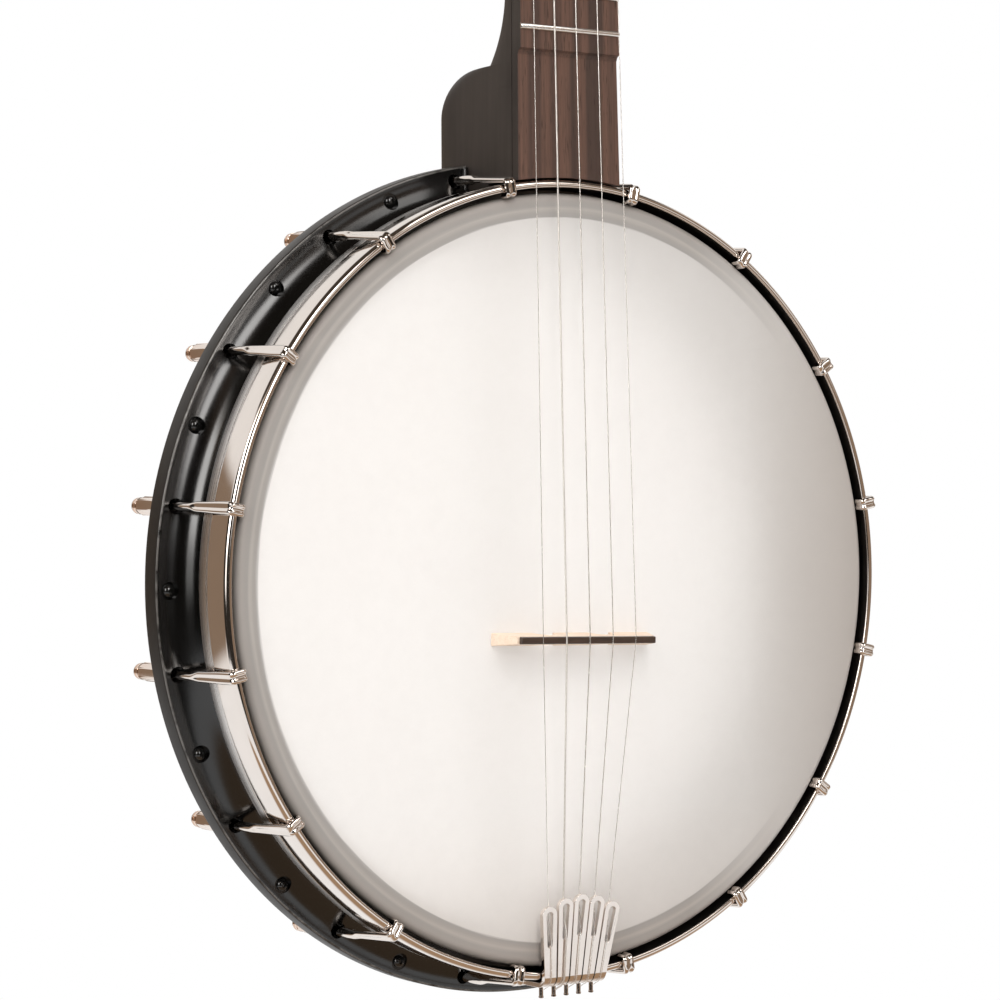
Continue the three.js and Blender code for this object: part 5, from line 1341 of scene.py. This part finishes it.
def add_nut():
    left, right = right_edge(NUT_Z) - NUT_WIDTH, right_edge(NUT_Z)
    profile = rounded([
        (BOARD_THICKNESS, NUT_Z, 0), (-1.9, NUT_Z, 0.35), (-1.33, NUT_Z + 3.5, 0.8),
        (0, NUT_Z + NUT_THICKNESS, 0.4), (BOARD_THICKNESS, NUT_Z + NUT_THICKNESS, 0),
    ], 3)
    nut = soften(solid(side_plate(profile, left, right)), 0.25, 2, 55)
    for number in range(1, 5):
        carve(nut, string_slot(nut_place(number), NUT_Z, number, 5, 9))
    place(nut, "nut_bone", BONE, "bone", "string_nut", at=NECK, weighted=True)
    peg = lathe([(0, 0), (1.5, 0), (1.5, 4.3), (1.2, 4.6), (0, 4.6)], 32)
    pip = solid(moved(peg, along_axis((PIP_X, 2.7, PIP_Z), (0, -1, 0))))
    carve(pip, string_slot(PIP_X, PIP_Z, 0, 5, 5))
    place(pip, "pip_bone", BONE, "bone", "fifth_string_pip", at=NECK)


# Strings, along the routes of the CAD model
def tail_route(number):
    radius, spot = STRING_DIAMETERS[number] / 2, number - 2
    gap = radius + GAP
    tip = finger_tip(number)
    slot_top = tip - SLOT_INSET
    slot_bottom = slot_top - SLOT_LENGTH + SLOT_WIDTH
    slot_start = slot_bottom - SLOT_WIDTH
    rear_x, side = spot * REAR_PITCH, 0.85 + gap

    def fan(z):
        return spot * lerp(REAR_PITCH, TIP_PITCH, (z + TAIL_BEND) / (TAIL_BEND - TAIL_TIP))

    return [
        (rear_x, PIN_DEPTH - side, -TAIL_REAR - side), *[(rear_x, *bend_point(BEND_RADIUS + gap, turn))
                                                         for turn in (75, 55, 35, 15)],
        (fan(slot_start), front_at(slot_start) - gap, slot_start),
        (fan(slot_bottom), front_at(slot_bottom) - radius, slot_bottom),
        (fan(slot_top), front_at(slot_top) + TAIL_THICKNESS + gap, slot_top - SLOT_WIDTH / 2),
        (fan(tip), front_at(tip) + TAIL_THICKNESS + gap, tip + gap),
    ]


def coil_route(centre, start, radius, along, pitch, steps=28, turns=2):
    offset = start - centre
    height = offset.dot(along)
    out = (offset - along * height).normalized()
    other = along.cross(out)
    return [
        centre + along * (height + pitch * i / steps) + radius * (
            out * math.cos(2 * math.pi * i / steps) + other * math.sin(2 * math.pi * i / steps))
        for i in range(turns * steps + 1)
    ]


def tangent_point(origin, centre, radius, side):
    toward = math.atan2(origin[1] - centre[1], origin[0] - centre[0])
    reach = math.hypot(origin[0] - centre[0], origin[1] - centre[1])
    angle = toward + side * math.acos(radius / reach)
    return centre[0] + radius * math.cos(angle), centre[1] + radius * math.sin(angle)


def peghead_route(number):
    radius = STRING_DIAMETERS[number] / 2
    x, z = tuner_places()[number - 1]
    slot = Vector((nut_place(number), string_top(radius), NUT_Z))
    slot_back = slot + Vector((0, 0, 2.5))
    origin = PEGHEAD_IN_POT.inverted() @ NECK_IN_POT @ slot_back
    coil, side = POST_WAIST + GAP + radius, -1 if x < 0 else 1
    touch = tangent_point((origin.x, origin.z), (x, z), coil, -side)
    start = Vector((touch[0], POST_TOP * 0.74, touch[1]))
    pitch = radius * 2 + COIL_GAP
    turns = coil_route(Vector((x, 0, z)), start, coil, Vector((0, side, 0)), side * pitch)
    return [NECK_IN_POT @ slot, NECK_IN_POT @ slot_back, *[PEGHEAD_IN_POT @ p for p in turns]]


def fifth_route():
    radius = STRING_DIAMETERS[0] / 2
    edge, top = left_edge(FIFTH_PEG_Z), string_top(radius)
    first = [
        Vector((PIP_X, top, PIP_Z - 1.5)), Vector((PIP_X, top, PIP_Z + 1.5 + GAP)),
        Vector((edge - GAP, -radius - GAP, (PIP_Z + FIFTH_PEG_Z) / 2)),
    ]
    coil = SPOOL_RADIUS + GAP + radius
    touch = tangent_point((first[2].y, first[2].z), (FIFTH_PEG_DEPTH, FIFTH_PEG_Z), coil, -1)
    start = Vector((edge - 0.9, touch[0], touch[1]))
    centre = Vector((0, FIFTH_PEG_DEPTH, FIFTH_PEG_Z))
    turns = coil_route(centre, start, coil, Vector((-1, 0, 0)), radius * 2 + COIL_GAP)
    return [NECK_IN_POT @ p for p in [*first, *turns]]


def add_strings():
    for number, diameter in enumerate(STRING_DIAMETERS):
        end = fifth_route() if number == 0 else peghead_route(number)
        path = [*tail_route(number), (string_x(number), BRIDGE_TOP, BRIDGE_Z), *end]
        name = f"string_{5 - number}"
        look = WOUND_STRING if number == 1 else PLAIN_STRING
        place(solid(tube(path, diameter / 2, 10)), f"bank_{name}", look, "string_steel", name, sharp=80)


# Tuners
def grip_part(start, length, width, thickness):
    profile = [(0, 0)]
    for i in range(1, 25):
        angle = math.pi * i / 24
        swell = math.sin(angle) ** 0.62
        profile.append((width / 2 * swell * lerp(0.86, 1, math.sin(angle / 2) ** 2),
                        length / 2 * (1 - math.copysign(abs(math.cos(angle)) ** 0.85, math.cos(angle)))))
    profile[-1] = (0, length)
    points, faces = lathe(profile, 56)
    return [(x, y + start, z * thickness / width) for x, y, z in points], faces


def peg_button(case_end, inside):
    """Pearl button on its shaft, which reaches into the housing."""
    shaft = bar((0, case_end - inside, 0), (0, case_end + 9, 0), SHAFT_RADIUS, 32, 0.2)
    grip = grip_part(case_end + BUTTON_GAP, BUTTON_LENGTH, BUTTON_WIDTH, BUTTON_THICKNESS)
    return solid(shaft, grip)


def tuner_housing(back, case_end):
    profile = rounded([
        (0, -GAP - 2.7, 0), (5, -GAP - 2.7, 0.25), (5, back, 0), (7.4, back, 0.3), (7.4, back + 3, 0.15),
        (7.1, back + 3.2, 0), (7.1, back + 3.7, 0), (7.4, back + 3.9, 0.15), (7.4, case_end, 1.3),
        (0, case_end, 0),
    ], 5, closed=False)
    nut = hex_stack([(-GAP - 2.4, 5.5), (-GAP - 2.1, 9), (-GAP - 0.1, 9), (-GAP, 6.4)], 11.4)
    washer = lathe([(0, -0.32), (7.6, -0.32), (7.6, -0.02), (0, -0.02)], 56)
    housing = carve(solid(lathe(profile, 56)), nut, washer, operation="UNION")
    post_hole = bar((0, -20, 0), (0, 9.3, 0), 3.08, 40)
    return carve(housing, post_hole, bar((0, case_end - 7.3, 0), (0, case_end + 9, 0), SHAFT_HOLE, 32))


def tuner_post():
    profile = rounded([
        (0, 9, 0), (3, 9, 0.3), (3, -7.2, 0.5), (POST_WAIST, -8.2, 0.8), (POST_WAIST, -13.5, 0.8),
        (3, -15.0, 0.4), (3, -16.7, 0.3), (POST_WAIST, POST_TOP, 0.4), (0, POST_TOP, 0),
    ], 4, closed=False)
    return carve(solid(lathe(profile, 40)), bar((-9, -10.8, 0), (9, -10.8, 0), 0.8, 20))


def add_tuners():
    back = PEGHEAD_THICKNESS + GAP
    case_end = back + CASE_LENGTH
    for number, (x, z) in enumerate(tuner_places(), 1):
        at = PEGHEAD @ shift(x, 0, z)
        name, post, button = (f"tuner_{number}{end}" for end in ("", "_post", "_button"))
        case = tuner_housing(back, case_end)
        place(case, f"{name}_case", NICKEL, "polished_nickel", f"{name}_housing", at=at)
        place(tuner_post(), f"{name}_spindle", NICKEL, "polished_nickel", post, body=post, at=at)
        knob = peg_button(case_end, 7)
        place(knob, f"{name}_knob", PEARL, "pearl_plastic", button, body=button, at=at, sharp=60)
        screw = solid(lathe([(0, 0), (2.6, 0), (2.6, 0.4), (2.2, 0.75), (0, 0.8)], 32))
        carve(screw, block((-3, 0.45, -0.35), (3, 2, 0.35)))
        screw_at = at @ shift(0, case_end + 14.5, 0)
        place(screw, f"{name}_knob_screw", NICKEL, "polished_nickel", body=button, at=screw_at)


def add_fifth_peg():
    sideways = Matrix.Rotation(math.pi / 2, 4, "Z")
    in_neck = shift(left_edge(FIFTH_PEG_Z), FIFTH_PEG_DEPTH, FIFTH_PEG_Z) @ sideways
    at = NECK @ in_neck
    case_start, case_end, wide, groove = 7.6, 18.6, 5.6, 5.35
    case = solid(lathe(rounded([
        (0, case_start, 0), (wide, case_start, 0.3), (wide, case_start + 2.6, 0.1),
        (groove, case_start + 2.8, 0), (groove, case_start + 3.2, 0), (wide, case_start + 3.4, 0.1),
        (wide, case_end, 1.3), (0, case_end, 0),
    ], 5, closed=False), 48))
    plug = bar((0, -12, 0), (0, 0, 0), 3.4, 32)
    axle = bar((0, -6, 0), (0, case_start + 5.5, 0), 1.4, 32)
    carve(case, plug, axle, operation="UNION")
    carve(case, bar((0, case_end - 3.6, 0), (0, case_end + 9, 0), SHAFT_HOLE, 32))
    place(case, "fifth_peg_case", NICKEL, "polished_nickel", "fifth_peg_housing", at=at)
    spool = solid(lathe(rounded([
        (1.52, GAP, 0), (SPOOL_RADIUS, GAP, 0.2), (SPOOL_RADIUS, 5.4, 1.0), (4.0, 6.2, 0.3), (4.0, 7, 0.3),
        (1.52, 7, 0),
    ], 4), 48))
    post, button = "fifth_peg_post", "fifth_peg_button"
    place(spool, "fifth_peg_spool", NICKEL, "polished_nickel", post, body=post, at=at)
    knob = peg_button(case_end, 3.3)
    place(knob, "fifth_peg_knob", PEARL, "pearl_plastic", button, body=button, at=at, sharp=60)


def add_cover():
    """Cover of the truss rod's nut on the peghead, with its three screws."""
    half, low, length = 9.5, 2.5, 34
    right = [(half, low), (half, low + length * 0.45), (half * 0.62, low + length * 0.82)]
    left = [(-x, z) for x, z in reversed(right)]
    outline = rounded([(x, z, 1.5) for x, z in [*right, (0, low + length), *left]], 4)
    cover = soften(solid(front_plate(outline, -2.1, -0.3)), 0.45, 2, 50)
    place(cover, "cover", MOULDING, "black_moulding", "truss_rod_cover", at=PEGHEAD, weighted=True)
    for number, (x, z) in enumerate([(-6.6, 6), (6.6, 6), (0, 31)], 1):
        head = [(0, -3.0), (0.7, -2.95), (1.3, -2.7), (1.7, -2.2), (1.7, -1.9), (0, -1.9)]
        screw = solid(lathe(head, 24))
        carve(screw, block((-0.2, -4, -1.1), (0.2, -2.5, 1.1)), block((-1.1, -4, -0.2), (1.1, -2.5, 0.2)))
        place(screw, f"cover_screw_{number}", BLACK_SCREW, "black_moulding", at=PEGHEAD @ shift(x, 0, z))


# Floor, world and lamps, in metres from the pot's origin
FLOOR_REFLECTION_GLOW = (0.4, 0.27, 0.17)
FLOOR_RADIUS = 1.55
FLOOR_LEVEL = -0.47
FLOOR_SIDES = 96


def floor_look():
    """Pale floor that keeps the shadow, fades to white far out, and glows warm in front for glossy rays
    only, a painted reflection.
    """
    look = Look("floor", (0.93, 0.92, 0.91), 0.9)
    look.feed("Base Color", look.mix(look.noise(look.here, 4, 3), (0.94, 0.935, 0.93), (0.91, 0.905, 0.9)))
    distance = look.node("VectorMath", "LENGTH", i0=look.here).outputs["Value"]
    depth = look.split(look.here)[1]
    front = look.product(look.span(depth, 0.2, -0.05), look.span(distance, 0.76, 0.7))
    path = look.node("LightPath").outputs
    glossy = path["Is Glossy Ray"]
    # Painted reflection: a warm glow in front of the floor that only glossy rays see.
    glow = look.node("Emission", Color=look.mix(look.product(front, glossy), WHITE, FLOOR_REFLECTION_GLOW))
    seen = look.largest(path["Is Camera Ray"], path["Is Transmission Ray"])
    bright = look.largest(look.product(look.span(distance, 0.6, 1.5), seen), glossy)
    both = look.node("MixShader", i0=bright, i1=look.shader.outputs[0], i2=glow.outputs[0])
    look.join(both.outputs[0], look.tree.nodes["Material Output"].inputs["Surface"])
    return look.material


def add_floor():
    mesh = bpy.data.meshes.new("floor")
    angles = [2 * math.pi * i / FLOOR_SIDES for i in range(FLOOR_SIDES)]
    ring = [(FLOOR_RADIUS * math.sin(a), FLOOR_RADIUS * math.cos(a), 0) for a in angles]
    mesh.from_pydata(ring, [], [list(range(FLOOR_SIDES))])
    mesh.materials.append(floor_look())
    floor = bpy.data.objects.new("floor", mesh)
    floor.location = POT_ORIGIN + Vector((0, 0, FLOOR_LEVEL))
    bpy.context.collection.objects.link(floor)


WHITE_SWEEP = (0.94, 0.92, 0.9)
WARM_ROOM = (0.27, 0.195, 0.14)
DARK_SCREEN = (0.03, 0.025, 0.021)
DIM_CEILING = (0.06, 0.046, 0.035)
SOFT_LIGHT = (1, 0.985, 0.97)
SOFT_LIGHT_STRENGTH = 0.45
SOFT_BOX_POWER = 7.0


def mirrored_room(sky, x, y, height):
    """Colour and power of what glossy rays meet: a warm room, a dark screen and a few soft boxes."""
    behind = sky.ease(y, -0.1, 0.15)
    not_far_back = sky.inverse(sky.ease(y, 0.3, 0.5))
    in_front = sky.inverse(sky.ease(y, -0.5, -0.3))
    ceiling = sky.math("SUBTRACT", 0.6, sky.product(behind, 0.33))
    below = sky.inverse(sky.ease(sky.math("SUBTRACT", height, ceiling), -0.035, 0.035))
    low_behind = sky.product(behind, sky.inverse(sky.ease(height, -0.25, -0.19)))
    room = sky.product(below, sky.inverse(low_behind))
    on_left = sky.ease(sky.product(x, -1.0), -0.29, -0.21)
    screen = sky.product(sky.within(height, -0.55, 0.42, 0.05), on_left, not_far_back)
    window = sky.product(sky.within(height, 0.05, 0.6, 0.05), sky.within(x, -0.16, 0.1, 0.04), in_front)
    card = sky.product(sky.within(height, 0.15, 0.28, 0.02), sky.ease(x, 0.2, 0.3), in_front)
    azimuth = sky.math("ARCTAN2", sky.product(x, -1.0), sky.product(y, -1.0))
    side = sky.within(azimuth, 0.82, 1.26, 0.06)
    front_box = sky.product(sky.within(height, 0.15, 0.62, 0.08), sky.within(azimuth, -0.17, 0.15, 0.05))
    side_box = sky.product(sky.within(height, 0.14, 0.55, 0.08), side)
    side_foot = sky.product(sky.within(height, -0.06, 0.2, 0.05), side)
    boxes = sky.largest(front_box, side_box)
    lit = sky.largest(window, card, boxes, side_foot)
    power = sky.math("ADD", 1.0, sky.math("ADD", sky.product(boxes, SOFT_BOX_POWER), side_foot))
    above = sky.product(sky.ease(height, 0.56, 0.64), not_far_back)
    walls = sky.mix(above, sky.mix(room, WHITE_SWEEP, WARM_ROOM), DIM_CEILING)
    return sky.mix(lit, sky.mix(screen, walls, DARK_SCREEN), WHITE_SWEEP), power


def add_world():
    """White sweep behind, soft light all round, and a room that only reflections show."""
    world = bpy.data.worlds.new("studio")
    bpy.context.scene.world = world
    world.use_nodes = True
    world.node_tree.nodes.clear()
    sky = Nodes(world.node_tree)
    color, power = mirrored_room(sky, *sky.split(sky.node("TexCoord").outputs["Generated"]))
    sheen = sky.node("Background", Color=color, Strength=power)
    plain = sky.node("Background", Color=SOFT_LIGHT, Strength=SOFT_LIGHT_STRENGTH)
    white = sky.node("Background", Color=WHITE, Strength=1.0)
    path = sky.node("LightPath").outputs
    first = sky.node("MixShader", i0=path["Is Glossy Ray"], i1=plain.outputs[0], i2=sheen.outputs[0])
    seen = sky.largest(path["Is Camera Ray"], path["Is Transmission Ray"])
    last = sky.node("MixShader", i0=seen, i1=first.outputs[0], i2=white.outputs[0])
    sky.node("OutputWorld", Surface=last.outputs[0])


LAMP_COLOR = (1, 0.98, 0.95)


def add_lamp(name, at, size, watts, mirrored):
    data = bpy.data.lights.new(name, "AREA")
    data.shape = "RECTANGLE"
    data.size, data.size_y = size
    data.energy = watts
    data.color = LAMP_COLOR
    lamp = bpy.data.objects.new(name, data)
    lamp.location = POT_ORIGIN + Vector(at)
    lamp.rotation_euler = (-Vector(at)).to_track_quat("-Z", "Y").to_euler()
    lamp.visible_glossy = mirrored
    bpy.context.collection.objects.link(lamp)


add_camera()
add_floor()
add_world()
add_lamp("key", at=(-0.5, -1.24, 1.05), size=(0.5, 1.5), watts=14.5, mirrored=False)
add_lamp("rim_light", at=(-1.37, -0.61, 0.9), size=(0.5, 1.9), watts=10.4, mirrored=False)
add_lamp("fill", at=(0.9, -1.5, 1.7), size=(1.0, 1.0), watts=8, mirrored=True)

add_rim()
add_flange_screws()
add_head()
add_flesh_hoop()
add_tension_hoop()
add_hooks()
add_rod()
add_tailpiece()
add_bridge()
add_neck()
add_board()
add_nut()
add_strings()
add_tuners()
add_fifth_peg()
add_cover()

for node in ("neck_lag_screw", "truss_rod"):
    frame["nodes"][node].data.materials.clear()
    frame["nodes"][node].data.materials.append(STEEL)
